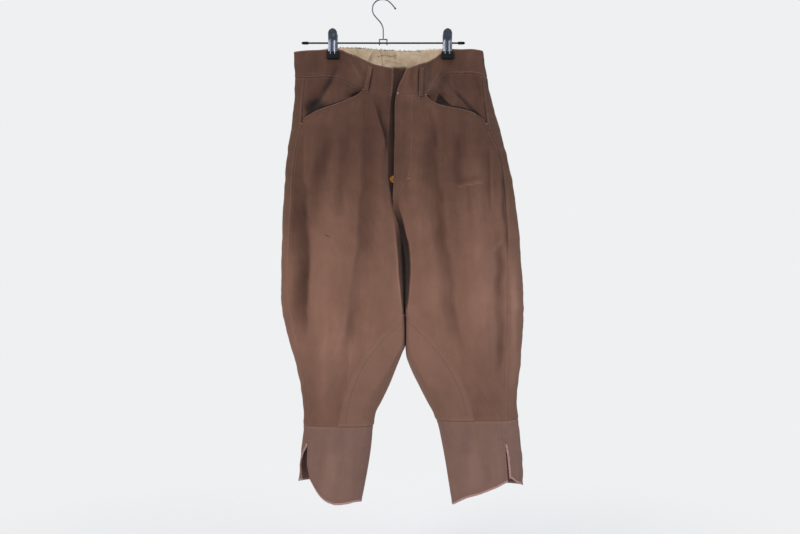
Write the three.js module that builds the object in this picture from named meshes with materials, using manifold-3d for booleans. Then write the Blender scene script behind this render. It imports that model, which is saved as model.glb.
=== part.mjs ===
// Safari trousers of the riding-breeches cut, hanging from a clip hanger by their waistband.
// Millimetres, +Z up. The front faces -Y, so the wearer's right leg is on the -X side.
// The origin is the point under the top of the hook that rests on a rail or a nail.
import * as THREE from "three";
import { mergeVertices } from "three/addons/utils/BufferGeometryUtils.js";
import Module from "manifold-3d";

const { clamp, lerp, smoothstep } = THREE.MathUtils;
const wasm = await Module();
wasm.setup();

// ---------------------------------------------------------------- driving dimensions
const clothWall = 1.6; // heavy brushed cotton
const bandWall = 2.0; // doubled at the waistband
const liningWall = 1.0;
const patchWall = 1.4;
const seamGap = 0.3;
const kneeSeam = { right: -887, left: -875 };
const flyBottom = -427;
const seatBottom = -380; // where the centre-back seam starts to curve under
const crotch = -540;
const levelTop = -300; // below it the thigh panels' rows are level
const thighRows = 19;
const topRows = 4;
const calfRows = 6;
const frontColumns = 15;
const backColumns = 15;

const rodHeight = -90;
const rodRadius = 1.8;
const rodHalf = 171;
const tipLength = 15;
const wireRadius = 1.3;
const clipX = { right: -105, left: 134 };
const clipBottom = -124.5;
const padHeight = 16;
const padWidth = 25.7;
const padThick = 5;
const plateWidth = 19;
const plateTop = -63;
const plateWall = 1.2;
const nipFront = 3.2; // the front waistband's outer face, under a clip, from the middle plane
const nipBack = 3.6;

const flyWidth = 34;
const flyRecess = 7; // how far the button stand lies behind the left front
const flyRoll = 4; // how far the right front's edge rolls back to the button stand
const buttonRadius = 7;
const buttonThick = 2.4;
const loopWidth = 9;

// ---------------------------------------------------------------- tables
// One row for each level section: the outer edges, the inner edges (the centre-front edges
// above the crotch), the side seams, the depths before and behind the middle plane, and how
// far the cloth takes to turn the corner at the outer edge and at the inner edges.
const sections = [
  { z: -90, rightEdge: -187, rightInner: 22, leftInner: 60, leftEdge: 207, rightSeam: -162, leftSeam: 199, front: 14, back: 7, roll: 70, rightTurn: 8, leftTurn: 8, backTurn: 14 },
  { z: -130, rightEdge: -186, rightInner: 22, leftInner: 54, leftEdge: 212, rightSeam: -162, leftSeam: 202, front: 20, back: 10, roll: 75, rightTurn: 8, leftTurn: 8, backTurn: 14 },
  { z: -160, rightEdge: -185, rightInner: 22, leftInner: 44, leftEdge: 216, rightSeam: -162, leftSeam: 205, front: 25, back: 13, roll: 80, rightTurn: 8, leftTurn: 8, backTurn: 14 },
  { z: -195, rightEdge: -185, rightInner: 20, leftInner: 29, leftEdge: 223, rightSeam: -165, leftSeam: 208, front: 29, back: 16, roll: 85, rightTurn: 8, leftTurn: 8, backTurn: 14 },
  { z: -230, rightEdge: -188, rightInner: 13, leftInner: 24, leftEdge: 232, rightSeam: -168, leftSeam: 212, front: 32, back: 19, roll: 90, rightTurn: 8, leftTurn: 8, backTurn: 14 },
  { z: -270, rightEdge: -193, rightInner: 8, leftInner: 24, leftEdge: 243, rightSeam: -170, leftSeam: 217, front: 35, back: 22, roll: 95, rightTurn: 8, leftTurn: 8, backTurn: 14 },
  { z: -320, rightEdge: -200, rightInner: 7, leftInner: 23, leftEdge: 257, rightSeam: -181, leftSeam: 240, front: 38, back: 25, roll: 105, rightTurn: 7, leftTurn: 9, backTurn: 14 },
  { z: -370, rightEdge: -205, rightInner: 11, leftInner: 22, leftEdge: 268, rightSeam: -186, leftSeam: 249, front: 41, back: 28, roll: 110, rightTurn: 5, leftTurn: 11, backTurn: 14 },
  { z: -430, rightEdge: -209, rightInner: 19, leftInner: 20, leftEdge: 277, rightSeam: -189, leftSeam: 254, front: 43, back: 30, roll: 115, rightTurn: 4, leftTurn: 13, backTurn: 15 },
  { z: -455, rightEdge: -210, rightInner: 27, leftInner: 28, leftEdge: 281, rightSeam: -191, leftSeam: 255, front: 44, back: 31, roll: 115, rightTurn: 6, leftTurn: 12, backTurn: 15 },
  { z: -485, rightEdge: -211, rightInner: 35, leftInner: 36, leftEdge: 284, rightSeam: -193, leftSeam: 257, front: 45, back: 32, roll: 118, rightTurn: 10, leftTurn: 11, backTurn: 16 },
  { z: -515, rightEdge: -212, rightInner: 40, leftInner: 41, leftEdge: 286, rightSeam: -194, leftSeam: 257, front: 45, back: 33, roll: 120, rightTurn: 13, leftTurn: 11, backTurn: 17 },
  { z: -560, rightEdge: -213, rightInner: 43.5, leftInner: 44.5, leftEdge: 289, rightSeam: -195, leftSeam: 257, front: 46, back: 34, roll: 120, rightTurn: 12, leftTurn: 12, backTurn: 18 },
  { z: -610, rightEdge: -214, rightInner: 43.5, leftInner: 45, leftEdge: 292, rightSeam: -195, leftSeam: 256, front: 46, back: 34, roll: 120, rightTurn: 8, leftTurn: 11, backTurn: 18 },
  { z: -655, rightEdge: -211, rightInner: 43.5, leftInner: 47.5, leftEdge: 293, rightSeam: -188, leftSeam: 255, front: 45, back: 33, roll: 115, rightTurn: 6, leftTurn: 8, backTurn: 18 },
  { z: -690, rightEdge: -202, rightInner: 44, leftInner: 48, leftEdge: 292, rightSeam: -182, leftSeam: 254, front: 44, back: 32, roll: 112, rightTurn: 6, leftTurn: 7, backTurn: 18 },
  { z: -720, rightEdge: -194, rightInner: 44, leftInner: 48, leftEdge: 290, rightSeam: -175, leftSeam: 252, front: 43, back: 31, roll: 108, rightTurn: 8, leftTurn: 8, backTurn: 20 },
  { z: -740, rightEdge: -188, rightInner: 37, leftInner: 49, leftEdge: 288, rightSeam: -170, leftSeam: 252, front: 42, back: 31, roll: 104, rightTurn: 12, leftTurn: 12, backTurn: 24 },
  { z: -765, rightEdge: -182, rightInner: 27, leftInner: 57, leftEdge: 286, rightSeam: -166, leftSeam: 251, front: 40, back: 30, roll: 98, rightTurn: 18, leftTurn: 18, backTurn: 28 },
  { z: -805, rightEdge: -172, rightInner: 11, leftInner: 76, leftEdge: 282, rightSeam: -161, leftSeam: 250, front: 37, back: 28, roll: 90, rightTurn: 28, leftTurn: 28, backTurn: 32 },
  { z: -840, rightEdge: -168, rightInner: -6, leftInner: 94, leftEdge: 279, rightSeam: -159, leftSeam: 250, front: 33, back: 26, roll: 80, rightTurn: 36, leftTurn: 36, backTurn: 36 },
  { z: -862, rightEdge: -166, rightInner: -17, leftInner: 106, leftEdge: 281, rightSeam: -158, leftSeam: 250, front: 32, back: 25, roll: 76, rightTurn: 38, leftTurn: 38, backTurn: 38 },
  { z: -885, rightEdge: -166, rightInner: -21, leftInner: 114, leftEdge: 283, rightSeam: -157, leftSeam: 250, front: 31, back: 24, roll: 72, rightTurn: 40, leftTurn: 40, backTurn: 40 },
  { z: -922, rightEdge: -169, rightInner: -24, leftInner: 122, leftEdge: 287, rightSeam: -157, leftSeam: 252, front: 30, back: 24, roll: 70, rightTurn: 40, leftTurn: 40, backTurn: 40 },
  { z: -960, rightEdge: -173, rightInner: -29, leftInner: 129, leftEdge: 291, rightSeam: -159, leftSeam: 255, front: 29, back: 23, roll: 70, rightTurn: 40, leftTurn: 40, backTurn: 40 },
  { z: -1010, rightEdge: -177, rightInner: -38, leftInner: 137, leftEdge: 292, rightSeam: -154, leftSeam: 258, front: 29, back: 23, roll: 70, rightTurn: 40, leftTurn: 40, backTurn: 40 },
  { z: -1060, rightEdge: -181, rightInner: -48, leftInner: 145, leftEdge: 292, rightSeam: -153, leftSeam: 259, front: 29, back: 23, roll: 70, rightTurn: 40, leftTurn: 40, backTurn: 40 },
];

// The centre-back seam, from the waist to the crotch.
const centreBack = [
  { z: -90, x: -3 },
  { z: -200, x: 0 },
  { z: -300, x: 9 },
  { z: -400, x: 24 },
  { z: -480, x: 37 },
  { z: -540, x: 43 },
];

// The waistband's top edge and lower seam on each front, by distance across.
const frontWaist = {
  right: [
    { x: -187, top: -109, seam: -163 },
    { x: -160, top: -108, seam: -166 },
    { x: -120, top: -104, seam: -162 },
    { x: -91, top: -104, seam: -165 },
    { x: -73, top: -112, seam: -174 },
    { x: -44, top: -128, seam: -189 },
    { x: -15, top: -142, seam: -200 },
    { x: 22, top: -150, seam: -211 },
  ],
  left: [
    { x: 22, top: -154, seam: -204 },
    { x: 48, top: -151, seam: -204 },
    { x: 60, top: -146, seam: -204 },
    { x: 75, top: -140, seam: -203 },
    { x: 89, top: -134, seam: -200 },
    { x: 106, top: -123, seam: -182 },
    { x: 121, top: -112, seam: -165 },
    { x: 140, top: -103, seam: -154 },
    { x: 171, top: -104, seam: -155 },
    { x: 216, top: -107, seam: -162 },
  ],
};

// The back waistband's top edge, which the clips hold nearly straight.
const backTop = [
  { x: -187, z: -109 },
  { x: -140, z: -105 },
  { x: -105, z: -100 },
  { x: -60, z: -99 },
  { x: 0, z: -103 },
  { x: 52, z: -105 },
  { x: 134, z: -102 },
  { x: 216, z: -107 },
];
const backBandHeight = 55;

// The pocket mouths: the cut top edge of each front, from the belt loop to the side seam.
const pocketMouth = {
  right: [
    { x: -38, z: -191 },
    { x: -47, z: -199 },
    { x: -61, z: -206 },
    { x: -99, z: -221 },
    { x: -131, z: -233 },
    { x: -150, z: -242 },
    { x: -162, z: -250 },
    { x: -170, z: -269 },
  ],
  left: [
    { x: 87, z: -201 },
    { x: 96, z: -211 },
    { x: 108, z: -219 },
    { x: 130, z: -226 },
    { x: 170, z: -234 },
    { x: 197, z: -245 },
    { x: 208, z: -256 },
    { x: 217, z: -271 },
  ],
};

// The hem of each front calf piece, across from the slit (0) to the inseam (1).
const frontHem = [
  { across: 0, right: -1003, left: -1000 },
  { across: 0.07, right: -1012, left: -1006 },
  { across: 0.15, right: -1024, left: -1011 },
  { across: 0.26, right: -1036, left: -1018 },
  { across: 0.38, right: -1048, left: -1025 },
  { across: 0.54, right: -1049, left: -1033 },
  { across: 0.7, right: -1047, left: -1039 },
  { across: 0.84, right: -1044, left: -1047 },
  { across: 0.94, right: -1043, left: -1055 },
  { across: 1, right: -1040, left: -1054 },
];
const backHemStart = { right: -1003, left: -1002 };

// How far the back edge of each side slit stands away from its front edge, by height.
const slitOpening = [
  { z: -900, right: 0, left: 0 },
  { z: -925, right: 0.6, left: 0.4 },
  { z: -948, right: 10, left: 1 },
  { z: -1060, right: 14, left: 2.4 },
];

// The largest folds: each runs from one end to the other with a sideways bow, and stands out
// (or, below zero, sinks in) by its height at its middle. Width is to where it has faded.
const frontFolds = [
  { x0: -165, z0: -285, x1: -166, z1: -690, bow: 4, width: 26, height: -6 },
  { x0: -98, z0: -300, x1: -100, z1: -840, bow: -8, width: 52, height: 5 },
  { x0: -60, z0: -260, x1: -72, z1: -850, bow: 26, width: 28, height: -6 },
  { x0: -18, z0: -300, x1: 6, z1: -660, bow: 4, width: 26, height: 4 },
  { x0: -128, z0: -700, x1: -126, z1: -880, bow: 0, width: 24, height: 3 },
  { x0: -100, z0: -925, x1: -118, z1: -1056, bow: 0, width: 26, height: 4 },
  { x0: 92, z0: -205, x1: 178, z1: -850, bow: -8, width: 30, height: -7 },
  { x0: 178, z0: -320, x1: 206, z1: -800, bow: 6, width: 56, height: 5 },
  { x0: 236, z0: -320, x1: 249, z1: -790, bow: 8, width: 22, height: -8 },
  { x0: 48, z0: -220, x1: 62, z1: -420, bow: 0, width: 30, height: 4 },
  { x0: 84, z0: -440, x1: 96, z1: -700, bow: -3, width: 32, height: 4 },
  { x0: 190, z0: -900, x1: 196, z1: -1040, bow: -4, width: 30, height: 3 },
  { x0: -90, z0: -118, x1: -40, z1: -190, bow: 0, width: 20, height: 5 },
  { x0: -94, z0: -126, x1: -158, z1: -246, bow: 4, width: 24, height: -6 },
  { x0: 122, z0: -116, x1: 84, z1: -196, bow: 0, width: 18, height: 5 },
  { x0: 128, z0: -140, x1: 112, z1: -214, bow: 0, width: 20, height: -6 },
];
const backFolds = [
  { x0: -150, z0: -250, x1: -160, z1: -700, bow: 5, width: 30, height: -5 },
  { x0: -92, z0: -230, x1: -96, z1: -820, bow: -8, width: 54, height: 5 },
  { x0: -40, z0: -330, x1: -62, z1: -860, bow: 18, width: 30, height: -6 },
  { x0: 92, z0: -330, x1: 160, z1: -860, bow: -10, width: 32, height: -6 },
  { x0: 160, z0: -250, x1: 200, z1: -800, bow: 6, width: 56, height: 5 },
  { x0: 226, z0: -290, x1: 244, z1: -760, bow: 6, width: 26, height: -6 },
  { x0: -105, z0: -170, x1: -60, z1: -290, bow: 0, width: 30, height: -4 },
  { x0: 134, z0: -170, x1: 92, z1: -290, bow: 0, width: 30, height: -4 },
];

// ---------------------------------------------------------------- curves through tables
// A smooth curve through one column of a table that keeps each rise and fall of its rows.
function curveThrough(rows, across, column) {
  const points = rows.map((row) => [row[across], row[column]]).sort((a, b) => a[0] - b[0]);
  const last = points.length - 1;
  const rise = (i) => (points[i + 1][1] - points[i][1]) / (points[i + 1][0] - points[i][0]);
  const slopes = points.map((point, i) => {
    if (i === 0) return rise(0);
    if (i === last) return rise(last - 1);
    const [before, after] = [rise(i - 1), rise(i)];
    if (before * after <= 0) return 0;
    const spanBefore = point[0] - points[i - 1][0];
    const spanAfter = points[i + 1][0] - point[0];
    const weight = (2 * spanAfter + spanBefore) / before + (spanAfter + 2 * spanBefore) / after;
    return (3 * (spanBefore + spanAfter)) / weight;
  });
  return (at) => {
    const t = clamp(at, points[0][0], points[last][0]);
    let i = 0;
    while (i < last - 1 && points[i + 1][0] < t) i += 1;
    const span = points[i + 1][0] - points[i][0];
    const s = (t - points[i][0]) / span;
    const still = (2 * s ** 3 - 3 * s ** 2 + 1) * points[i][1] + (3 * s ** 2 - 2 * s ** 3) * points[i + 1][1];
    return still + span * ((s ** 3 - 2 * s ** 2 + s) * slopes[i] + (s ** 3 - s ** 2) * slopes[i + 1]);
  };
}

const section = Object.fromEntries(
  Object.keys(sections[0]).slice(1).map((column) => [column, curveThrough(sections, "z", column)]),
);
const centreBackX = curveThrough(centreBack, "z", "x");
const bothSides = (make) => ({ right: make("right"), left: make("left") });
const bandTop = bothSides((side) => curveThrough(frontWaist[side], "x", "top"));
const bandSeam = bothSides((side) => curveThrough(frontWaist[side], "x", "seam"));
const mouth = bothSides((side) => curveThrough(pocketMouth[side], "x", "z"));
const backTopZ = curveThrough(backTop, "x", "z");
const hemZ = bothSides((side) => curveThrough(frontHem, "across", side));
const slitGap = bothSides((side) => curveThrough(slitOpening, "z", side));

// ---------------------------------------------------------------- the cloth's surface
// 0 at the start of a corner and 1 past its end, round as a quarter circle.
const turned = (t) => Math.sqrt(1 - (1 - clamp(t, 0, 1)) ** 2);
// 1 within flat of the middle, falling smoothly to 0 at reach.
const plateau = (distance, flat, reach) => 1 - smoothstep(Math.abs(distance), flat, reach);
const outward = { right: -1, left: 1 };

// 0 where the halves are joined at centre front or back, 1 where each leg is a closed tube.
function closing(face, z) {
  const start = face === "front" ? flyBottom : seatBottom;
  return clamp((start - z) / (start - crotch), 0, 1) ** 1.8;
}

function foldHeight(folds, x, z) {
  let sum = 0;
  for (const fold of folds) {
    const [dx, dz] = [fold.x1 - fold.x0, fold.z1 - fold.z0];
    const length = Math.hypot(dx, dz);
    const along = ((x - fold.x0) * dx + (z - fold.z0) * dz) / length ** 2;
    if (along <= 0 || along >= 1) continue;
    const bow = 4 * fold.bow * along * (1 - along);
    const beside = ((x - fold.x0) * -dz + (z - fold.z0) * dx) / length - bow;
    const fade = smoothstep(along, 0, 0.25) * (1 - smoothstep(along, 0.75, 1));
    sum += fold.height * fade * plateau(beside, 0, fold.width);
  }
  return sum;
}

const innerX = {
  front: (side, z) => section[side + "Inner"](z),
  back: (side, z) => {
    const legs = smoothstep(-z, -crotch - 50, -crotch);
    return lerp(centreBackX(z) + outward[side] * 0.5, section[side + "Inner"](z), legs);
  },
};

// How strongly the clips nip the waist together at a place.
function nip(x, z) {
  const below = clipBottom - z;
  const down = plateau(Math.max(below, 0), 3, 150);
  const reach = 58 + 0.25 * Math.max(below, 0);
  return down * Math.max(plateau(x - clipX.right, 24, reach), plateau(x - clipX.left, 24, reach));
}

// Distance of the outer face from the middle plane.
function depth(side, face, x, z) {
  const fromEdge = Math.abs(section[side + "Edge"](z) - x);
  const fromInner = Math.abs(x - innerX[face](side, z));
  const closed = closing(face, z);
  const turn = section[face === "front" ? side + "Turn" : "backTurn"](z);
  const corner = turned(fromEdge / section.roll(z)) * (1 - closed + closed * turned(fromInner / turn));
  const slope = 1 - 0.22 * closed * (1 - clamp(fromInner / 110, 0, 1)) ** 2;
  const between = clamp((x - clipX.right) / (clipX.left - clipX.right), 0, 1);
  const sag = face === "front" ? 14 * Math.sin(Math.PI * between) ** 2 * smoothstep(z, -300, -110) : 0;
  const folds = foldHeight(face === "front" ? frontFolds : backFolds, x, z);
  const rolled = face === "front" && side === "right" ? flyRoll * plateau(fromInner, 0, 16) : 0;
  const onFly = smoothstep(z, flyBottom, flyBottom + 40) * smoothstep(-z, 200, 230);
  const free = (section[face](z) * slope + sag + folds - rolled * onFly) * corner;
  return lerp(free, face === "front" ? nipFront : nipBack, nip(x, z));
}

// A point of the outer face. Round runs 0 at the front's inner edge, 1 at the outer edge and
// 2 at the back's inner edge, closer together where the cloth turns a corner.
function pointAt(side, round, z) {
  const face = round <= 1 ? "front" : "back";
  const inner = innerX[face](side, z);
  const across = (1 - Math.cos(Math.PI * (round <= 1 ? round : 2 - round))) / 2;
  const x = lerp(inner, section[side + "Edge"](z), across);
  const y = depth(side, face, x, z) * (face === "front" ? -1 : 1);
  return new THREE.Vector3(x, y, z);
}

function normalAt(side, round, z) {
  const [before, after] = [Math.max(round - 0.004, 0), Math.min(round + 0.004, 2)];
  const around = pointAt(side, after, z).sub(pointAt(side, before, z));
  const up = pointAt(side, round, z + 0.5).sub(pointAt(side, round, z - 0.5));
  return around.cross(up).multiplyScalar(outward[side]).normalize();
}

// Where on the front, as round, the cloth is at a distance x across.
function roundAt(side, x, z) {
  const inner = innerX.front(side, z);
  const across = (x - inner) / (section[side + "Edge"](z) - inner);
  return Math.acos(clamp(1 - 2 * across, -1, 1)) / Math.PI;
}

const sideSeam = (side, z) => roundAt(side, section[side + "Seam"](z), z);
const slitBack = (side, z) =>
  roundAt(side, section[side + "Seam"](z) + outward[side] * slitGap[side](z), z);

// Round, moved by a distance in millimetres along the cloth.
function shifted(side, round, z, distance) {
  const start = pointAt(side, round, z);
  let [near, far] = [0, 0.1 * Math.sign(distance)];
  for (let pass = 0; pass < 12; pass += 1) {
    const middle = (near + far) / 2;
    if (pointAt(side, round + middle, z).distanceTo(start) < Math.abs(distance)) near = middle;
    else far = middle;
  }
  return round + far;
}

// A grid of places on the cloth: columnAt(u, z) gives round, heightAt(u, v, x) gives z.
function sheetGrid(side, columns, rows, columnAt, heightAt) {
  return rows.map((v) =>
    columns.map((u) => {
      let z = heightAt(u, v, 0);
      for (let pass = 0; pass < 4; pass += 1) {
        z = heightAt(u, v, pointAt(side, columnAt(u, z), z).x);
      }
      const round = columnAt(u, z);
      return { point: pointAt(side, round, z), normal: normalAt(side, round, z) };
    }),
  );
}

// A closed wall from a grid: its outer face is moved out by lift, which may vary over the grid.
function wallGeometry(grid, thickness, lift = () => 0) {
  const [rows, columns] = [grid.length, grid[0].length];
  const positions = [];
  for (const inward of [0, thickness]) {
    grid.forEach((row, r) =>
      row.forEach(({ point, normal }, c) => {
        const moved = point.clone().addScaledVector(normal, lift(c, r, point) - inward);
        positions.push(moved.x, moved.y, moved.z);
      }),
    );
  }
  const at = (layer, r, c) => layer * rows * columns + r * columns + c;
  const index = [];
  const quad = (a, b, c, d) => index.push(a, b, c, a, c, d);
  for (let r = 0; r < rows - 1; r += 1) {
    for (let c = 0; c < columns - 1; c += 1) {
      quad(at(0, r, c), at(0, r + 1, c), at(0, r + 1, c + 1), at(0, r, c + 1));
      quad(at(1, r, c), at(1, r, c + 1), at(1, r + 1, c + 1), at(1, r + 1, c));
    }
  }
  for (let c = 0; c < columns - 1; c += 1) {
    quad(at(0, 0, c), at(0, 0, c + 1), at(1, 0, c + 1), at(1, 0, c));
    quad(at(0, rows - 1, c), at(1, rows - 1, c), at(1, rows - 1, c + 1), at(0, rows - 1, c + 1));
  }
  for (let r = 0; r < rows - 1; r += 1) {
    quad(at(0, r, 0), at(1, r, 0), at(1, r + 1, 0), at(0, r + 1, 0));
    quad(at(0, r, columns - 1), at(0, r + 1, columns - 1), at(1, r + 1, columns - 1), at(1, r, columns - 1));
  }
  const geometry = new THREE.BufferGeometry();
  geometry.setAttribute("position", new THREE.Float32BufferAttribute(positions, 3));
  geometry.setIndex(index);
  return facingOut(geometry);
}

// Turns a closed geometry's triangles round if they face inwards.
function facingOut(geometry) {
  const [position, index] = [geometry.getAttribute("position"), geometry.index.array];
  const corner = [0, 1, 2].map(() => new THREE.Vector3());
  let volume = 0;
  for (let i = 0; i < index.length; i += 3) {
    corner.forEach((v, k) => v.fromBufferAttribute(position, index[i + k]));
    volume += corner[0].dot(corner[1].clone().cross(corner[2]));
  }
  if (volume < 0) {
    for (let i = 0; i < index.length; i += 3) [index[i + 1], index[i + 2]] = [index[i + 2], index[i + 1]];
  }
  return geometry;
}

const spread = (count, from = 0, to = 1) =>
  Array.from({ length: count + 1 }, (_, i) => lerp(from, to, i / count));

// ---------------------------------------------------------------- booleans
function solidFrom(geometry) {
  const bare = (geometry.index ? geometry.toNonIndexed() : geometry).clone();
  bare.deleteAttribute("normal");
  bare.deleteAttribute("uv");
  const merged = mergeVertices(bare, 1e-3);
  return new wasm.Manifold(
    new wasm.Mesh({
      numProp: 3,
      vertProperties: merged.attributes.position.array,
      triVerts: new Uint32Array(merged.index.array),
    }),
  );
}

function geometryFrom(solid) {
  const mesh = solid.getMesh();
  const geometry = new THREE.BufferGeometry();
  geometry.setAttribute("position", new THREE.BufferAttribute(new Float32Array(mesh.vertProperties), 3));
  geometry.setIndex(new THREE.BufferAttribute(new Uint32Array(mesh.triVerts), 1));
  return geometry;
}

const joined = (parts) =>
  geometryFrom(parts.map(solidFrom).reduce((all, part) => all.add(part)));

// ---------------------------------------------------------------- materials
const material = (color, roughness, metalness = 0) =>
  new THREE.MeshStandardMaterial({ color, roughness, metalness });
const cloth = material("#80604f", 0.95);
const calfCloth = material("#7f6358", 0.95);
const lining = material("#c9b59c", 0.9);
const horn = material("#b27a35", 0.35);
const chrome = material("#c4c8cf", 0.15, 1);
const coatedWire = material("#1b1c20", 0.4, 0.3);
const rubber = material("#15161b", 0.7);

const trousers = new THREE.Group();
const hanger = new THREE.Group();
const add = (group, name, geometry, finish) => {
  const mesh = new THREE.Mesh(geometry, finish);
  mesh.name = name;
  group.add(mesh);
  return mesh;
};

// ---------------------------------------------------------------- thigh panels
const half = seamGap / 2;
const frontAcross = spread(frontColumns);
const backAround = spread(backColumns);
const topShare = topRows / (topRows + thighRows);
const panelRows = spread(topRows + thighRows);

// Height of a thigh row: above levelTop it leads down from the panel's own top edge.
function thighHeight(side, v, top) {
  const bottom = kneeSeam[side] + half;
  if (v <= topShare) return lerp(top, levelTop, v / topShare);
  return lerp(levelTop, bottom, (v - topShare) / (1 - topShare));
}

const onFront = (side) => (u, z) =>
  lerp(shifted(side, 0, z, half), shifted(side, sideSeam(side, z), z, -half), u);
const onBack = (side) => (u, z) =>
  lerp(shifted(side, sideSeam(side, z), z, half), shifted(side, 2, z, -half), u);

const mouthEnd = { right: pocketMouth.right[0].x, left: pocketMouth.left[0].x };
const beyondMouthEnd = (side, x) => outward[side] * (x - mouthEnd[side]) > 0;
const frontTop = (side, x) => (beyondMouthEnd(side, x) ? mouth[side](x) : bandSeam[side](x) - half);
const backBandZ = (x) => backTopZ(x) - backBandHeight;

// The waistband's seam all round: round up to 1 is the front, and past 1 the back. Both meet
// at the outer edge, which the band passes level.
function bandLine(side, frontLine, backLine, round, x) {
  const onTheBack = smoothstep(round, 0.9, 1.1);
  return lerp(frontLine[side](x), backLine(x), onTheBack);
}

function backTopEdge(side, u, x) {
  const round = lerp(sideSeam(side, -165), 2, u);
  return bandLine(side, bandSeam, backBandZ, round, x) - half;
}

const frontGrid = bothSides((side) =>
  sheetGrid(side, frontAcross, panelRows, onFront(side), (u, v, x) => thighHeight(side, v, frontTop(side, x))),
);
const backGrid = bothSides((side) =>
  sheetGrid(side, backAround, panelRows, onBack(side), (u, v, x) => thighHeight(side, v, backTopEdge(side, u, x))),
);
for (const side of ["right", "left"]) {
  add(trousers, "front_" + side, wallGeometry(frontGrid[side], clothWall), cloth);
  add(trousers, "back_" + side, wallGeometry(backGrid[side], clothWall), cloth);
}

// ---------------------------------------------------------------- calf pieces
const calfSteps = spread(calfRows);
const onCalfBack = (side) => (u, z) =>
  onBack(side)(u, z) + (slitBack(side, z) - sideSeam(side, z)) * (1 - u) ** 6;

function calfFrontHeight(side, u, v) {
  return lerp(kneeSeam[side] - half, hemZ[side](1 - u), v);
}

function calfBackHeight(side, u, v) {
  const hem = lerp(backHemStart[side], hemZ[side](1), smoothstep(u, 0.25, 1));
  return lerp(kneeSeam[side] - half, hem, v);
}

for (const side of ["right", "left"]) {
  const front = sheetGrid(side, frontAcross, calfSteps, onFront(side), (u, v) => calfFrontHeight(side, u, v));
  const back = sheetGrid(side, backAround, calfSteps, onCalfBack(side), (u, v) => calfBackHeight(side, u, v));
  add(trousers, "calf_front_" + side, wallGeometry(front, clothWall), calfCloth);
  add(trousers, "calf_back_" + side, wallGeometry(back, clothWall), calfCloth);
}

// ---------------------------------------------------------------- knee strappings
// The curved front edge of each strapping, from its point on the inseam to the knee seam.
const strappingEdge = {
  right: [
    { x: 41, z: -655 },
    { x: 4, z: -690 },
    { x: -36, z: -733 },
    { x: -65, z: -782 },
    { x: -83, z: -832 },
    { x: -93, z: -886 },
  ],
  left: [
    { x: 52, z: -656 },
    { x: 94, z: -696 },
    { x: 132, z: -740 },
    { x: 163, z: -790 },
    { x: 180, z: -834 },
    { x: 188, z: -874 },
  ],
};
const strappingReach = 12; // how many of the panel's columns it may cover each way
const farInside = { right: 80, left: 0 }; // past the inseam, in the gap between the legs

// The panel's own points round the inseam, moved out, and cut to the strapping's outline.
function strapping(side) {
  const firstRow = frontGrid[side].findIndex((row) => row[0].point.z < strappingEdge[side][0].z + 30);
  const slab = frontGrid[side].slice(firstRow).map((_, i) => {
    const r = firstRow + i;
    const front = frontGrid[side][r].slice(1, strappingReach);
    const back = backGrid[side][r].slice(-strappingReach, -1);
    const z = front[0].point.z;
    const inseam = { point: pointAt(side, 0, z), normal: new THREE.Vector3(-outward[side], 0, 0) };
    return [...back, inseam, ...front];
  });
  const outline = new THREE.Shape();
  const [top, ...rest] = strappingEdge[side];
  outline.moveTo(farInside[side], top.z);
  outline.lineTo(top.x, top.z);
  outline.splineThru(rest.map(({ x, z }) => new THREE.Vector2(x, z)));
  outline.lineTo(farInside[side], rest.at(-1).z);
  const prism = new THREE.ExtrudeGeometry(outline, { depth: 160, bevelEnabled: false, curveSegments: 4 });
  prism.rotateX(Math.PI / 2).translate(0, 80, 0);
  return geometryFrom(
    solidFrom(wallGeometry(slab, patchWall, () => seamGap + patchWall)).intersect(solidFrom(prism)),
  );
}
for (const side of ["right", "left"]) add(trousers, "knee_strapping_" + side, strapping(side), cloth);

// ---------------------------------------------------------------- waistband
const bandRows = spread(3);
// Round over the whole band: the front panel's columns, then the back panel's.
function onBand(side) {
  return (u, z) => {
    const seam = sideSeam(side, z);
    return u <= 1 ? lerp(shifted(side, 0, z, half), seam, u) : lerp(seam, shifted(side, 2, z, -half), u - 1);
  };
}
const bandColumns = [...frontAcross, ...backAround.slice(1).map((u) => u + 1)];
const bandRound = (side, u) =>
  u <= 1 ? lerp(0, sideSeam(side, -140), u) : lerp(sideSeam(side, -140), 2, u - 1);

function bandHeight(side, u, v, x) {
  const round = bandRound(side, u);
  const top = bandLine(side, bandTop, backTopZ, round, x);
  const seam = bandLine(side, bandSeam, backBandZ, round, x) + half;
  return lerp(top, seam, v);
}

const bandGrid = bothSides((side) =>
  sheetGrid(side, bandColumns, bandRows, onBand(side), (u, v, x) => bandHeight(side, u, v, x)),
);
for (const side of ["right", "left"]) {
  add(trousers, "waistband_" + side, wallGeometry(bandGrid[side], bandWall), cloth);
}

// The pale lining shows inside the back of the band, from side to side.
const liningColumns = 10;
function liningGrid() {
  const inside = (side) => bandGrid[side].map((row) => row.slice(-liningColumns));
  const [right, left] = [inside("right"), inside("left")];
  return right.map((row, r) => {
    const middle = {
      point: row.at(-1).point.clone().add(left[r].at(-1).point).multiplyScalar(0.5),
      normal: row.at(-1).normal.clone().add(left[r].at(-1).normal).normalize(),
    };
    return [...row.slice(0, -1), middle, ...left[r].slice(0, -1).reverse()];
  });
}
add(trousers, "waistband_lining", wallGeometry(liningGrid(), liningWall, () => -bandWall - 2 * seamGap), lining);

// ---------------------------------------------------------------- pocket facings
const facingTop = 8; // hidden under the waistband
const facingDeep = 3; // rows of the front panel that it reaches down behind it
const facingWall = 1.2;
const facingBack = bandWall + 1; // how far its face lies behind the face of the cloth
const mouthLevel = -200;
const facingGape = { right: { x: -58, z: -203 }, left: { x: 119, z: -214 } };

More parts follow.
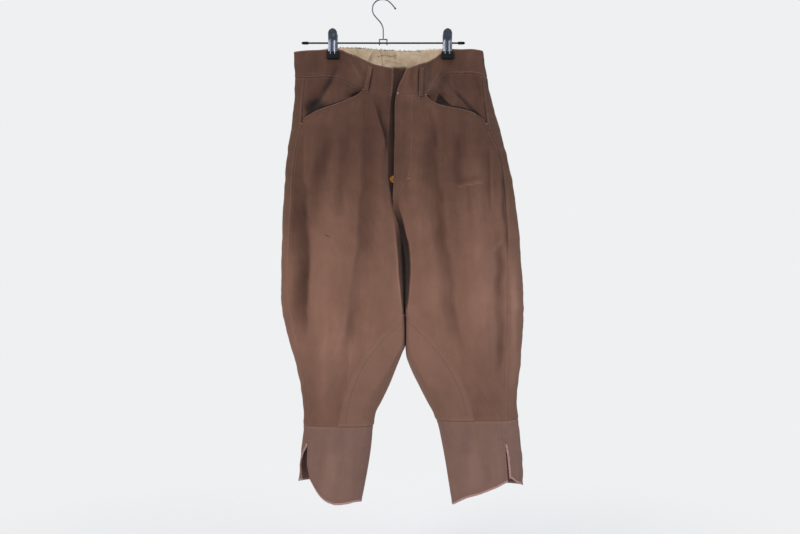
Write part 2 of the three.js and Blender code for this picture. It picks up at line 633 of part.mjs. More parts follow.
function pocketFacing(side) {
  const past = (u) => beyondMouthEnd(side, pointAt(side, onFront(side)(u, mouthLevel), mouthLevel).x);
  const columns = frontAcross.filter((u, i) => past(frontAcross[i + 1] ?? 1));
  const steps = [-1, 0, 1, 2, 3, ...spread(facingDeep - 1, 4, 3 + facingDeep)];
  return sheetGrid(side, columns, steps, onFront(side), (u, step, x) => {
    const [seam, edge] = [bandSeam[side](x), mouth[side](x)];
    if (step < 0) return seam + facingTop;
    if (step <= 3) return lerp(seam, edge, step / 3);
    return thighHeight(side, panelRows[step - 3], edge);
  });
}

for (const side of ["right", "left"]) {
  const gape = facingGape[side];
  const grid = pocketFacing(side);
  const behind = (c, r, point) => {
    const away = Math.hypot((point.x - gape.x) / 34, (point.z - gape.z) / 18);
    const open = 3 * smoothstep(mouth[side](point.x) + 34 - point.z, 0, 34) + 6 * plateau(away, 0, 1.4);
    return -facingBack - open * (c === 0 ? 0.4 : 1);
  };
  add(trousers, "pocket_facing_" + side, wallGeometry(grid, facingWall, behind), cloth);
}

// ---------------------------------------------------------------- fly
// The button stand: a strip sewn to the right front's edge that runs behind the left front.
const standTop = -149;
const standRows = 9;
const standColumns = 6;

// The button stand's face: close behind the right front, and flyRecess behind the left one.
function standY(x, z) {
  const [right, left] = [section.rightInner(z), section.leftInner(z)];
  const behindRight = clothWall + 1.4 - depth("right", "front", Math.min(x, right), z);
  const behindLeft = flyRecess - depth("left", "front", Math.max(x, left), z);
  return lerp(behindRight, behindLeft, smoothstep(x, right, left));
}

function standGrid() {
  return spread(standRows).map((v) => {
    const z = lerp(standTop, flyBottom + 6, v);
    const [from, to] = [section.rightInner(z) - 9, section.leftInner(z) + flyWidth * (1 - 0.55 * v ** 4)];
    return spread(standColumns).map((u) => {
      const x = lerp(from, to, u);
      return { point: new THREE.Vector3(x, standY(x, z), z), normal: new THREE.Vector3(0, -1, 0) };
    });
  });
}
add(trousers, "fly_button_stand", wallGeometry(standGrid(), clothWall), cloth);

// A fly button: a rimmed disc with its back on the stand.
function buttonGeometry() {
  const [r, t] = [buttonRadius, buttonThick];
  const profile = [[0, 0], [r - 0.8, 0], [r, 0.9], [r - 0.5, t], [r - 1.6, t], [r - 2.6, t - 0.7], [0, t - 0.7]];
  const points = profile.map(([x, y]) => new THREE.Vector2(x, y));
  return new THREE.LatheGeometry(points, 12);
}

// Each stands off the curve of the stand by its own clearance, as the stand isn't flat there.
const flyButtons = [
  { name: "fly_button_1", x: 40, z: -214, clear: 0.7 },
  { name: "fly_button_2", x: 38, z: -268, clear: 0.9 },
  { name: "fly_button_3", x: 33, z: -323, clear: 1.3 },
  { name: "fly_button_4", x: 21, z: -378, clear: 0.3 },
];
for (const { name, x, z, clear } of flyButtons) {
  const button = add(trousers, name, buttonGeometry(), horn);
  button.rotation.x = Math.PI;
  button.position.set(x, standY(x, z) - clear, z);
}

// ---------------------------------------------------------------- belt loops
const beltLoops = [
  { name: "belt_loop_front_right", side: "right", face: "front", x: -30.5, lean: 9 },
  { name: "belt_loop_front_left", side: "left", face: "front", x: 78.5, lean: 2 },
  { name: "belt_loop_back_right", side: "right", face: "back", x: -48, lean: 0 },
  { name: "belt_loop_back_left", side: "left", face: "back", x: 78, lean: 0 },
];
const loopRows = 6;
const loopBelow = 10; // how far under the band's top edge each begins
const loopRise = 2.4;
const loopSeat = 0.9;

// A narrow strip up the band, stitched at its ends and standing a little off between them. Its
// top leans towards +X by lean.
function beltLoop({ side, face, x, lean }) {
  return spread(loopRows).map((v) =>
    [-0.5, 0, 0.5].map((u) => {
      const at = x + lean * (0.5 - v) + u * loopWidth;
      const [top, seam] =
        face === "front" ? [bandTop[side](at), bandSeam[side](at)] : [backTopZ(at), backBandZ(at)];
      const z = lerp(top - loopBelow, seam - 2, v);
      const out = depth(side, face, at, z) + loopSeat + loopRise * Math.sin(Math.PI * v);
      const outwards = face === "front" ? -1 : 1;
      return { point: new THREE.Vector3(at, outwards * out, z), normal: new THREE.Vector3(0, outwards, 0) };
    }),
  );
}
for (const loop of beltLoops) {
  add(trousers, loop.name, wallGeometry(beltLoop(loop), -1.4), cloth);
}

// ---------------------------------------------------------------- hanger
function roundBar(radius, length, sides = 12) {
  return new THREE.CylinderGeometry(radius, radius, length, sides).rotateZ(Math.PI / 2);
}
add(hanger, "hanger_rod", roundBar(rodRadius, 2 * (rodHalf - tipLength - seamGap)), coatedWire).position.z = rodHeight;

const tipProfile = [[0, 0], [2.2, 0], [3, 1.4], [3, 10], [2.4, 13], [1.2, 14.6], [0, tipLength]];
for (const side of ["right", "left"]) {
  const tip = new THREE.LatheGeometry(tipProfile.map(([r, h]) => new THREE.Vector2(r, h)), 12);
  tip.rotateZ((-outward[side] * Math.PI) / 2);
  const cap = add(hanger, "hanger_tip_" + side, tip, rubber);
  cap.position.set(outward[side] * (rodHalf - tipLength), 0, rodHeight);
}

// The hook's centre line, from the saddle on the rod up and over to its tip.
const hookTop = wireRadius;
const hookLine = [
  [0, rodHeight + 3.4], [0, -72], [-0.3, -60], [-4, -49.5], [-13, -38.5], [-20.5, -29], [-22.6, -19],
  [-20, -8.5], [-12.5, -1.2], [0, hookTop], [10, -1.7], [18.5, -9.5], [25, -17.5],
];
const saddleHalf = 7.8;
const saddleRing = rodRadius + seamGap + wireRadius;

function hookGeometry() {
  const route = new THREE.CatmullRomCurve3(hookLine.map(([x, z]) => new THREE.Vector3(x, 0, z)));
  const circle = new THREE.Shape(new THREE.EllipseCurve(0, 0, wireRadius, wireRadius).getPoints(8).slice(0, 8));
  const wire = new THREE.ExtrudeGeometry(circle, { steps: 34, extrudePath: route });
  const [tipX, tipZ] = hookLine.at(-1);
  const ball = new THREE.SphereGeometry(2.3, 10, 6).translate(tipX, 0, tipZ);
  const bar = roundBar(wireRadius, 2 * saddleHalf, 10).translate(0, 0, rodHeight + saddleRing);
  const rings = [-1, 1].map((end) =>
    new THREE.TorusGeometry(saddleRing, wireRadius, 6, 14).rotateY(Math.PI / 2).translate(end * saddleHalf, 0, rodHeight),
  );
  return joined([wire, ball, bar, ...rings]);
}
add(hanger, "hanger_hook", hookGeometry(), chrome);

// A clip: two bent plates on a sleeve round the rod, with a soft pad on each jaw.
const platePath = [
  { y: 5.9, z: clipBottom + padHeight - 6 },
  { y: 5.7, z: rodHeight + 2 },
  { y: 14.5, z: plateTop },
];

function plateGeometry() {
  const side = new THREE.Shape();
  const outer = platePath.map(({ y, z }) => [y + plateWall, z]);
  const inner = platePath.map(({ y, z }) => [y, z]).reverse();
  [...outer, ...inner].forEach(([y, z], i) => (i ? side.lineTo(y, z) : side.moveTo(y, z)));
  const bent = new THREE.ExtrudeGeometry(side, { depth: plateWidth, bevelEnabled: false });
  bent.translate(0, 0, -plateWidth / 2);
  bent.applyMatrix4(new THREE.Matrix4().makeBasis(
    new THREE.Vector3(0, 1, 0), new THREE.Vector3(0, 0, 1), new THREE.Vector3(1, 0, 0)));
  const face = new THREE.Shape();
  const r = plateWidth / 2;
  face.moveTo(-r, -200).lineTo(r, -200).lineTo(r, plateTop - r);
  face.absarc(0, plateTop - r, r, 0, Math.PI, false);
  const outline = new THREE.ExtrudeGeometry(face, { depth: 80, bevelEnabled: false, curveSegments: 10 });
  outline.rotateX(Math.PI / 2).translate(0, 40, 0);
  return geometryFrom(solidFrom(bent).intersect(solidFrom(outline)));
}

function padGeometry() {
  const pad = new THREE.BoxGeometry(padWidth, padThick, padHeight);
  const pocket = new THREE.BoxGeometry(plateWidth + 2 * seamGap, plateWall + 2 * seamGap, 12);
  const jaw = platePath[0].y + plateWall / 2 - (nipFront + seamGap + padThick / 2);
  return geometryFrom(solidFrom(pad).subtract(solidFrom(pocket.translate(0, jaw, padHeight / 2))));
}

const sleeveProfile = [[rodRadius + seamGap, -6], [5.3, -6], [5.3, 6], [rodRadius + seamGap, 6], [rodRadius + seamGap, -6]];
for (const side of ["right", "left"]) {
  for (const [jaw, facing, nipped] of [["front", -1, nipFront], ["back", 1, nipBack]]) {
    const plate = plateGeometry();
    const pad = padGeometry();
    if (facing < 0) {
      plate.rotateZ(Math.PI);
      pad.rotateZ(Math.PI);
    }
    const shift = facing * (nipped - nipFront);
    add(hanger, `clip_${side}_plate_${jaw}`, plate, chrome).position.set(clipX[side], shift, 0);
    const seat = facing * (nipped + seamGap + padThick / 2);
    const jawPad = add(hanger, `clip_${side}_pad_${jaw}`, pad, rubber);
    jawPad.position.set(clipX[side], seat, clipBottom + padHeight / 2);
  }
  const sleeve = new THREE.LatheGeometry(sleeveProfile.map(([r, h]) => new THREE.Vector2(r, h)), 16);
  add(hanger, `clip_${side}_sleeve`, sleeve.rotateZ(Math.PI / 2), chrome).position.set(clipX[side], 0, rodHeight);
}

const hungTrousers = new THREE.Group().add(trousers, hanger);
export default hungTrousers;
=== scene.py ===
import math

import bpy
import numpy as np
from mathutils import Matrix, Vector


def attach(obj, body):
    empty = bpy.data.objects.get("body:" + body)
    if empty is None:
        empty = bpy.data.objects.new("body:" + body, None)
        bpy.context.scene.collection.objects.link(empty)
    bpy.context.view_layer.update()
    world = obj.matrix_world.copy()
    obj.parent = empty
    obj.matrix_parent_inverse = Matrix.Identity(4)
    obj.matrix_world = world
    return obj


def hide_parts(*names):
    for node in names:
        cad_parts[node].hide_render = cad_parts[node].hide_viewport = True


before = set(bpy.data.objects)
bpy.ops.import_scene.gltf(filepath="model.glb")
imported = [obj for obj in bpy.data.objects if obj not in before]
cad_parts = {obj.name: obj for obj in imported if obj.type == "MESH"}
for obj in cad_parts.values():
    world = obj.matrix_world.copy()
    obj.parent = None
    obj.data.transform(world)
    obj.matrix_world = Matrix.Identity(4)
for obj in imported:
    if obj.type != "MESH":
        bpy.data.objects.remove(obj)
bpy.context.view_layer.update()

# Safari trousers of the riding-breeches cut on a clip hanger, seen from the front.
# Tables and functions work in millimetres, with +Z up and the front facing -Y. One function,
# build, turns a piece's points to metres.

# ---------------------------------------------------------------- camera
camera = bpy.data.objects.new("camera", bpy.data.cameras.new("camera"))
camera.data.lens, camera.data.sensor_width = 40, 36
camera.location = (0.035, -1.858, -0.558)
camera.rotation_euler = (math.pi / 2, 0, 0)
bpy.context.scene.collection.objects.link(camera)
bpy.context.scene.camera = camera
bpy.context.scene.view_settings.view_transform = "Standard"

# ---------------------------------------------------------------- sizes
CLOTH = 1.6  # heavy brushed cotton
BAND = 2.0  # doubled at the waistband
KNEE = {"right": -887, "left": -875}
FLY_BOTTOM, SEAT_BOTTOM, CROTCH = -427, -380, -540
LEVEL = -300  # below it the thigh panels' rows are level
CLIP = {"right": -105, "left": 134}
CLIP_BOTTOM, PAD_HEIGHT, PAD_WIDTH, PAD_THICK = -124.5, 16, 25.7, 5
ROD_Z, ROD_RADIUS, ROD_HALF, TIP = -90, 1.8, 171, 15
WIRE = 1.3
NIP = {"front": 3.2, "back": 3.6}  # the cloth's faces under the clips' pads, from the middle plane
SAG = 14  # how far the front hangs out between the clips
FLY_WIDTH, STAND_TOP = 34, -149  # the fly's folded strip, and the top of the stand behind it
OUT = {"right": -1, "left": 1}
SIDES = ("right", "left")

# Level sections: outer edges, inner edges (the centre front above the crotch), side seams,
# depths before and behind the middle plane, and how far the cloth takes to turn each corner.
SECTIONS = """
z    right_edge right_in left_in left_edge right_seam left_seam front back roll right_turn left_turn back_turn
-90   -187 22   60   207 -162 199 14 7  70  8  8  14
-130  -186 22   54   212 -162 202 20 10 75  8  8  14
-160  -185 22   44   216 -162 205 25 13 80  8  8  14
-195  -185 20   29   223 -165 208 29 16 85  8  8  14
-230  -188 14.5 24   232 -168 212 32 19 90  8  8  14
-270  -193 12.5 24   243 -170 217 35 22 95  8  8  14
-320  -200 10   23   257 -181 240 38 25 105 7  9  14
-370  -205 11   22   268 -186 249 41 28 110 5  11 14
-430  -209 19   20   277 -189 254 43 30 115 4  13 15
-455  -210 27   28   281 -191 255 44 31 115 6  12 15
-485  -211 35   36   284 -193 257 45 32 118 10 11 16
-515  -212 40   41   286 -194 257 45 33 120 13 14 17
-560  -213 43.5 44   289 -195 257 46 34 120 13 14 18
-610  -214 43.8 44.2 292 -195 256 46 34 120 9  11 18
-646  -212 43.8 44.4 293 -190 255 45 33 116 6  8  18
-654  -211 43.7 44.8 292 -189 255 45 33 115 6  8  18
-662  -209 43.6 47.3 293 -187 255 45 33 114 6  8  18
-690  -202 44   48   292 -182 254 44 32 112 6  7  18
-720  -194 44   48   290 -175 252 43 31 108 8  8  20
-740  -188 37   49   288 -170 252 42 31 104 12 12 24
-765  -182 27   57   286 -166 251 40 30 98  18 18 28
-805  -172 11   76   282 -161 250 37 28 90  28 28 32
-840  -168 -6   94   279 -159 250 33 26 80  36 36 36
-862  -166 -17  106  281 -158 250 32 25 76  38 38 38
-885  -166 -21  114  283 -157 250 31 24 72  40 40 40
-922  -169 -24  122  287 -157 252 30 24 70  40 40 40
-960  -173 -29  129  291 -158 255 29 23 70  40 40 40
-1010 -177 -38  137  292 -149 258 29 23 70  40 40 40
-1060 -181 -48  145  292 -147 259 29 23 70  40 40 40
"""

# Folds and creases: a line from one end to the other with a sideways bow, how far it reaches to
# each side of the line, how far it stands out (below zero it sinks in), and its tone: paler on
# ridges, partly wear and partly painted highlight, and darker in troughs as painted shade.
FRONT_FOLDS = """
x0 z0 x1 z1 bow left right height tone
-108 -262 -152 -490 0  26 20 -4   -0.11
-170 -340 -166 -730 14 40 9  -5   -0.12
-164 -400 -164 -730 8  44 9  0    -0.26
-162 -270 -160 -400 0  5  6  1.5  0.10
-78  -270 -92  -470 0  16 16 -2   -0.10
-35  -236 -84  -770 14 12 32 -6   -0.15
-98  -300 -100 -840 -8 52 46 5    0.08
-18  -300 6    -660 4  26 26 4    0.04
-128 -700 -126 -880 0  24 24 3    0.06
-100 -925 -118 -1056 0 26 26 4    0.08
-24  -202 14.7 -412 9.6 5 24 -5   -0.04
-23  -202 15   -412 9.6 3 15 0    -0.14
-37  -204 -40  -262 0  2  3  -0.6 -0.09
86   -214 112  -330 2  6  12 -1   -0.09
-26  -204 10  -400 9.6 1.4 2.2 0.8 0.12
-66  -690 -74  -810 2  5  5  1.2  0.08
-64  -640 -80  -830 2  12 12 -2   -0.08
-81  -880 -88  -1010 0 18 18 -2   -0.08
-34  -890 -44  -1030 0 22 22 -1.2 -0.06
-140 -1000 -128 -1060 0 12 12 -1.5 -0.05
-90  -118 -40  -190 0  20 20 5    0.05
-90  -116 -162 -254 5  26 12 -6   -0.11
-90  -128 -146 -232 3  10 7  -1.5 -0.08
-52  -128 -20  -186 3  8  8  1.4  0.04
-76  -116 -40  -184 0  3  3  0.6  0.09
8    -150 12   -196 0  10 10 -1   -0.04
62   -146 56   -196 0  9  9  -1.2 -0.08
100  -128 92   -186 2  8  8  -1.4 -0.08
122  -116 84   -196 0  18 18 5    0.05
128  -140 112  -214 0  14 22 -6   -0.09
124  -140 84   -206 0  2.5 3 0.5  0.09
176  -108 172  -152 0  12 12 1.2  0.04
-150 -112 -146 -160 0  14 14 -1.2 -0.04
140  -186 212  -262 0  4  8 -1.5 -0.12
52   -118 50   -236 0  30 40 0    0.10
-190 -210 -198 -600 0  36 36 0    -0.11
90   -205 166  -800 -6 24 14 -7   -0.13
178  -320 206  -800 6  40 44 5    0.08
240  -280 257  -550 2  8  20 -6   -0.30
238  -470 243  -800 0  14 14 -6   -0.22
226  -530 246  -500 0  8  8  2.4  0.08
48   -220 62   -420 0  30 30 4    0.04
84   -440 96   -700 -3 32 32 4    0.03
190  -900 196  -1040 -4 30 30 3   0.05
222  -290 226  -460 0  5  7  1.2  0.08
216  -310 220  -460 0  7  4  -1.2 -0.08
272  -520 274  -850 0  14 14 2    0.12
141  -397 213  -384 1  3  3  0.7  0.12
146  -388 208  -372 0  6  13 -0.8 -0.10
172  -380 180  -456 0  7  8  -0.8 -0.07
158  -270 150  -410 0  16 20 -1.5 -0.10
172  -870 178  -960 0  24 24 -1.2 -0.06
214  -960 222  -1010 0 10 10 -1   -0.05
30   -560 60   -700 0  24 24 2    0.04
"""
BACK_FOLDS = """
x0 z0 x1 z1 bow left right height tone
-150 -250 -160 -700 5  34 16 -5   -0.20
-92  -230 -96  -820 -8 54 54 5    0.08
-40  -330 -62  -860 18 14 32 -6   -0.16
92   -330 160  -860 -10 32 16 -6  -0.16
160  -250 200  -800 6  56 56 5    0.08
226  -290 244  -760 6  14 26 -6   -0.20
-105 -170 -60  -290 0  30 30 -4   -0.10
134  -170 92   -290 0  30 30 -4   -0.10
-128 -360 -134 -620 0  12 12 -2.5 -0.10
-58  -300 -50  -560 6  14 9  -2   -0.08
-20  -430 10   -640 0  18 18 3    0.05
70   -420 52   -640 0  18 18 3    0.05
176  -380 190  -640 4  8  15 -2.5 -0.10
120  -500 142  -760 -4 12 12 -2   -0.08
-112 -700 -110 -880 0  20 20 -2   -0.06
-70  -880 -88  -1040 0 24 24 2.5  0.05
200  -890 204  -1040 0 26 26 2.5  0.05
-30  -520 -110 -560 4  7  4  -1.2 -0.07
66   -520 150  -566 -4 4  7  -1.2 -0.07
-150 -120 -120 -150 0  9  9  -1.2 -0.06
60   -110 90   -150 0  9  9  -1.2 -0.06
-60  -112 -36  -150 0  9  9  1.2  0.04
268  -500 272  -850 0  18 18 0    0.14
"""

# The waistband's top edge and lower seam on each front, and the back's top edge.
WAIST = {
    "right": ([-187, -160, -120, -91, -73, -44, -15, 22],
              [-109, -108, -104, -104, -112, -128, -142, -150],
              [-163, -166, -162, -165, -174, -189, -200, -211]),
    "left": ([22, 48, 60, 75, 89, 106, 121, 140, 171, 216],
             [-154, -151, -146, -140, -134, -123, -112, -103, -104, -107],
             [-204, -204, -204, -203, -200, -182, -165, -154, -155, -162]),
}
BACK_TOP = ([-187, -140, -105, -60, 0, 52, 134, 216],
            [-109, -105, -100, -99, -103, -105, -102, -107])
BACK_BAND = 55
# The pocket mouths, from the belt loop to the side seam.
MOUTH = {
    "right": ([-38, -47, -61, -99, -131, -150, -162, -170],
              [-191, -199, -206, -221, -233, -242, -250, -269]),
    "left": ([87, 96, 108, 130, 170, 197, 208, 217],
             [-201, -211, -219, -226, -234, -245, -256, -271]),
}
# The hem of each front calf piece, across from the slit (0) to the inseam (1).
HEM_ACROSS = [0, 0.07, 0.15, 0.26, 0.38, 0.54, 0.7, 0.84, 0.94, 1]
HEM = {
    "right": [-999, -1018, -1032.5, -1043.5, -1048.5, -1047, -1044.5, -1045.5, -1047, -1047.5],
    "left": [-1001, -1006, -1012, -1019, -1026.5, -1033.5, -1043, -1050, -1052.5, -1053],
}
BACK_HEM = {"right": (-1000, -1005), "left": (-1001, -1013)}  # at the slit, and at the outer edge
SLIT_FOOT = {"right": 0, "left": 7}  # how far the back's corner is rounded off by the slit's foot
# How far each side slit's back edge stands away from its front edge.
SLIT = {"right": ([-1060, -1000, -948, -925, -900], [19, 17, 10, 0.6, 0]),
        "left": ([-1060, -1000, -948, -925, -900], [5, 4.4, 3, 0.8, 0])}
# The curved front edge of each knee strapping, from the inseam to the knee seam.
STRAPPING = {
    "right": ([-655, -690, -733, -782, -832, -886], [41, 4, -36, -65, -83, -93]),
    "left": ([-656, -696, -740, -790, -834, -874], [52, 94, 132, 163, 180, 188]),
}
# How dark the painted shade in the cleft between the legs is on each leg, and how pale the painted highlight
# along its edge.
CLEFT_SHADE = {"right": 0.42, "left": 0.66}
CLEFT_HIGHLIGHT = {"right": 0.16, "left": 0.07}
# Tone of the cloth by height, partly wear and partly painted light falloff: dark where it hangs from the
# band, palest over the thighs.
WEAR_AND_LIGHT_BY_HEIGHT = ([-1060, -900, -860, -800, -720, -640, -520, -430, -340, -260, -200, -150, -90],
             [0.58, 0.56, 0.58, 0.64, 0.72, 0.72, 0.62, 0.50, 0.36, 0.31, 0.29, 0.28, 0.28])


def rows_of(text):
    """A table of numbers from its lines, and the names that head its columns."""
    head, *lines = text.strip().splitlines()
    return head.split(), np.array([[float(v) for v in line.split()] for line in lines])


# ---------------------------------------------------------------- curves
def smooth(value, low, high):
    """0 below low and 1 above high, easing between them as 3t^2 - 2t^3."""
    t = np.clip((value - low) / (high - low), 0, 1)
    return t * t * (3 - 2 * t)


def curve_through(at, values):
    """A curve that keeps each rise and fall of its points: cubic pieces whose slope at a point
    is the weighted harmonic mean of the rises beside it, or nought where those differ in sign."""
    order = np.argsort(at)
    x, y = np.asarray(at, float)[order], np.asarray(values, float)[order]
    span = np.diff(x)
    rise = np.diff(y) / span
    before, after = rise[:-1], rise[1:]
    slope = np.concatenate([rise[:1], np.zeros(len(x) - 2), rise[-1:]])
    same = before * after > 0
    safe_before, safe_after = np.where(same, before, 1), np.where(same, after, 1)
    weight = (2 * span[1:] + span[:-1]) / safe_before + (span[1:] + 2 * span[:-1]) / safe_after
    slope[1:-1] = np.where(same, 3 * (span[:-1] + span[1:]) / weight, 0)

    def curve(t):
        """The cubic between two knots: their heights eased into each other, and their slopes."""
        t = np.clip(t, x[0], x[-1])
        i = np.clip(np.searchsorted(x, t, side="right") - 1, 0, len(x) - 2)
        s = (t - x[i]) / span[i]
        still = (2 * s**3 - 3 * s**2 + 1) * y[i] + (3 * s**2 - 2 * s**3) * y[i + 1]
        return still + span[i] * ((s**3 - 2 * s**2 + s) * slope[i] + (s**3 - s**2) * slope[i + 1])

    return curve


heads, section_rows = rows_of(SECTIONS)
section = {name: curve_through(section_rows[:, 0], section_rows[:, i]) for i, name in enumerate(heads) if i}
FOLDS = {"front": rows_of(FRONT_FOLDS)[1], "back": rows_of(BACK_FOLDS)[1]}
HEIGHT, TONE = 0, 1  # the folds' last two columns
centre_back = curve_through([-90, -200, -300, -400, -480, -540], [-3, 0, 9, 24, 37, 43])
band_top = {s: curve_through(WAIST[s][0], WAIST[s][1]) for s in SIDES}
band_seam = {s: curve_through(WAIST[s][0], WAIST[s][2]) for s in SIDES}
back_top = curve_through(*BACK_TOP)
mouth = {s: curve_through(*MOUTH[s]) for s in SIDES}
hem = {s: curve_through(HEM_ACROSS, HEM[s]) for s in SIDES}
slit_gap = {s: curve_through(*SLIT[s]) for s in SIDES}
strapping_x = {s: curve_through(*STRAPPING[s]) for s in SIDES}
wear_and_light_by_height = curve_through(*WEAR_AND_LIGHT_BY_HEIGHT)


CELLS = 64  # the table of unevenness repeats after so many cells each way


def uneven(x, z, cell_x, cell_z, seed):
    """Soft unevenness from -1 to 1: random values at the corners of cells, eased between them."""
    table = np.random.default_rng(seed).uniform(-1, 1, (CELLS, CELLS))
    u, v = x / cell_x + 500, z / cell_z + 500
    i, j = np.floor(u).astype(int), np.floor(v).astype(int)
    s, t = smooth(u - i, 0, 1), smooth(v - j, 0, 1)

    def corner(a, b):
        """The random value at a cell's corner, a cells across and b cells up."""
        return table[(i + a) % CELLS, (j + b) % CELLS]

    low = corner(0, 0) * (1 - s) + corner(1, 0) * s
    high = corner(0, 1) * (1 - s) + corner(1, 1) * s
    return low * (1 - t) + high * t


# ---------------------------------------------------------------- the cloth's surface
def waver(z, row):
    """A fold's line strays by a few millimetres: two sines of height, out of step row by row."""
    return 2.0 * np.sin(z / 23 + 1.7 * row) + 1.1 * np.sin(z / 9.7 + 2.9 * row)


def folds_at(folds, x, z, column):
    """The folds' heights (column HEIGHT) or tones (column TONE) added up. Each falls off as a
    smooth step from its bowed line to its reach on either side, fades over the first and last
    quarter of its length, and grows and shrinks a little along it."""
    total = np.zeros(np.broadcast(x, z).shape)
    for row, (x0, z0, x1, z1, bow, left, right, *amounts) in enumerate(folds):
        dx, dz = x1 - x0, z1 - z0
        length = math.hypot(dx, dz)
        along = ((x - x0) * dx + (z - z0) * dz) / length**2
        beside = ((z - z0) * dx - (x - x0) * dz) / length - 4 * bow * along * (1 - along)
        beside = beside + waver(z, row) * min(1, (left + right) / 24)
        ends = smooth(along, 0, 0.25) * (1 - smooth(along, 0.75, 1))
        near = 1 - smooth(np.abs(beside), 0, np.where(beside < 0, left, right))
        total += amounts[column] * ends * near * (1 + 0.22 * np.sin(z / 31 + row))
    return total


def turned(t):
    """0 at the start of a corner and 1 past its end, round as a quarter circle."""
    return np.sqrt(1 - (1 - np.clip(t, 0, 1)) ** 2)


def edge_x(side, z):
    """The outer edge, uneven by 0.9 mm at every 17 mm of its height and by 0.3 mm at every 6 mm."""
    wander = 0.9 * uneven(0 * z, z, 1, 17, 61) + 0.3 * uneven(0 * z, z, 1, 6, 62)
    return section[side + "_edge"](z) + wander


def pressed(z):
    """How far each leg's inner edge is pressed against the other, from the crotch to the knees."""
    return 0.8 * smooth(-z, 470, 500) * smooth(z, -735, -715)


def inner_x(side, face, z):
    """The inner edge: the fly's edge or the centre-back seam, and the inseam on the legs."""
    leg = section[side + "_in"](z) - OUT[side] * pressed(z)
    if face == "front":
        return leg
    on_leg = smooth(-z, -CROTCH - 50, -CROTCH)
    return (centre_back(z) + OUT[side] * 0.05) * (1 - on_leg) + leg * on_leg


def inseam_turn(side, face, x, z):
    """How far each leg is closed to a tube (0 to 1), and how far round its inner corner."""
    start = FLY_BOTTOM if face == "front" else SEAT_BOTTOM
    closed = np.clip((start - z) / (start - CROTCH), 0, 1) ** 1.8
    turn = section[side + "_turn" if face == "front" else "back_turn"](z)
    return closed, np.abs(x - inner_x(side, face, z)) / turn


def depth(side, face, x, z):
    """Distance of the outer face from the middle plane: the section's depth, its folds and its
    small unevenness, rounded off at the outer edge and the inseam, sagging between the clips
    and nipped flat under them."""
    from_edge = np.abs(edge_x(side, z) - x)
    from_inner = np.abs(x - inner_x(side, face, z))
    closed, round_corner = inseam_turn(side, face, x, z)
    flatter = 0.5 * smooth(z, -690, -610)  # above the knees the thighs press together
    corner = turned(round_corner) * (1 - flatter) + flatter * np.clip(round_corner, 0, 1)
    corner = turned(from_edge / section["roll"](z)) * (1 - closed + closed * corner)
    slope = 1 - 0.22 * closed * (1 - np.clip(from_inner / 110, 0, 1)) ** 2
    folds = folds_at(FOLDS[face], x, z, HEIGHT)
    seed = {"front": 3, "back": 8}[face]
    folds = folds + 0.55 * uneven(x, z, 31, 74, seed) + 0.3 * uneven(x, z, 13, 41, seed + 1)
    free = section[face](z) * slope + folds
    if face == "front":
        between = np.clip((x - CLIP["right"]) / (CLIP["left"] - CLIP["right"]), 0, 1)
        free = free + SAG * np.sin(np.pi * between) ** 2 * smooth(z, -300, -110)
        if side == "right":
            on_fly = smooth(z, FLY_BOTTOM, FLY_BOTTOM + 40) * smooth(-z, 200, 230)
            free = free - 4 * (1 - smooth(from_inner, 0, 16)) * on_fly
    below = np.maximum(CLIP_BOTTOM - z, 0)
    near = [1 - smooth(np.abs(x - CLIP[s]), 24, 58 + 0.25 * below) for s in SIDES]
    nip = (1 - smooth(below, 3, 150)) * np.maximum(*near)
    return free * corner * (1 - nip) + NIP[face] * nip


def x_at(side, round_, z):
    """Distance across, from round: 0 at the front's inner edge, 1 at the outer edge and 2 at
    the back's inner edge, closer together where the cloth turns a corner."""
    inner = np.where(round_ <= 1, inner_x(side, "front", z), inner_x(side, "back", z))
    across = (1 - np.cos(np.pi * np.where(round_ <= 1, round_, 2 - round_))) / 2
    return inner + (edge_x(side, z) - inner) * across


def point_at(side, round_, z):
    """The point of the cloth's outer face at a round and a height."""
    round_, z = np.broadcast_arrays(np.asarray(round_, float), np.asarray(z, float))
    x = x_at(side, round_, z)
    y = np.where(round_ <= 1, -depth(side, "front", x, z), depth(side, "back", x, z))
    return np.stack([x, y, z], -1)


def round_at(side, x, z):
    """Where on the front, as round, the cloth is at a distance x across."""
    inner = inner_x(side, "front", z)
    across = (x - inner) / (edge_x(side, z) - inner)
    return np.arccos(np.clip(1 - 2 * across, -1, 1)) / np.pi


def side_seam(side, z):
    """Round of the side seam at a height."""
    return round_at(side, section[side + "_seam"](z), z)


def cleft_shade_and_highlight(side, face, x, z):
    """Tone of the cleft between the legs: painted shade round the inner corner, and a painted
    highlight along its edge where it turns to the light. It starts at the fly's foot and tapers to
    a point above the knee strappings."""
    closed, round_corner = inseam_turn(side, face, x, z)
    tube = np.minimum(1, 2 * closed)
    reach = 0.1 + 0.9 * smooth(z, -664, -628)
    if face == "back":
        opening, reach = 0.5 * tube, 0.6 * reach
    elif side == "left":
        opening = 1 - smooth(z, -505, -395)
    else:
        opening = np.maximum(tube, 0.35 * smooth(-z, 395, 425))
    inside = opening * (1 - smooth(round_corner, 0.75 * reach, 1.08 * reach))
    lit_edge = tube * smooth(round_corner, 0.9, 1.1) * (1 - smooth(round_corner, 1.1, 1.35))
    return (CLEFT_HIGHLIGHT[side] * lit_edge - CLEFT_SHADE[side] * inside) * smooth(z, -720, -650)


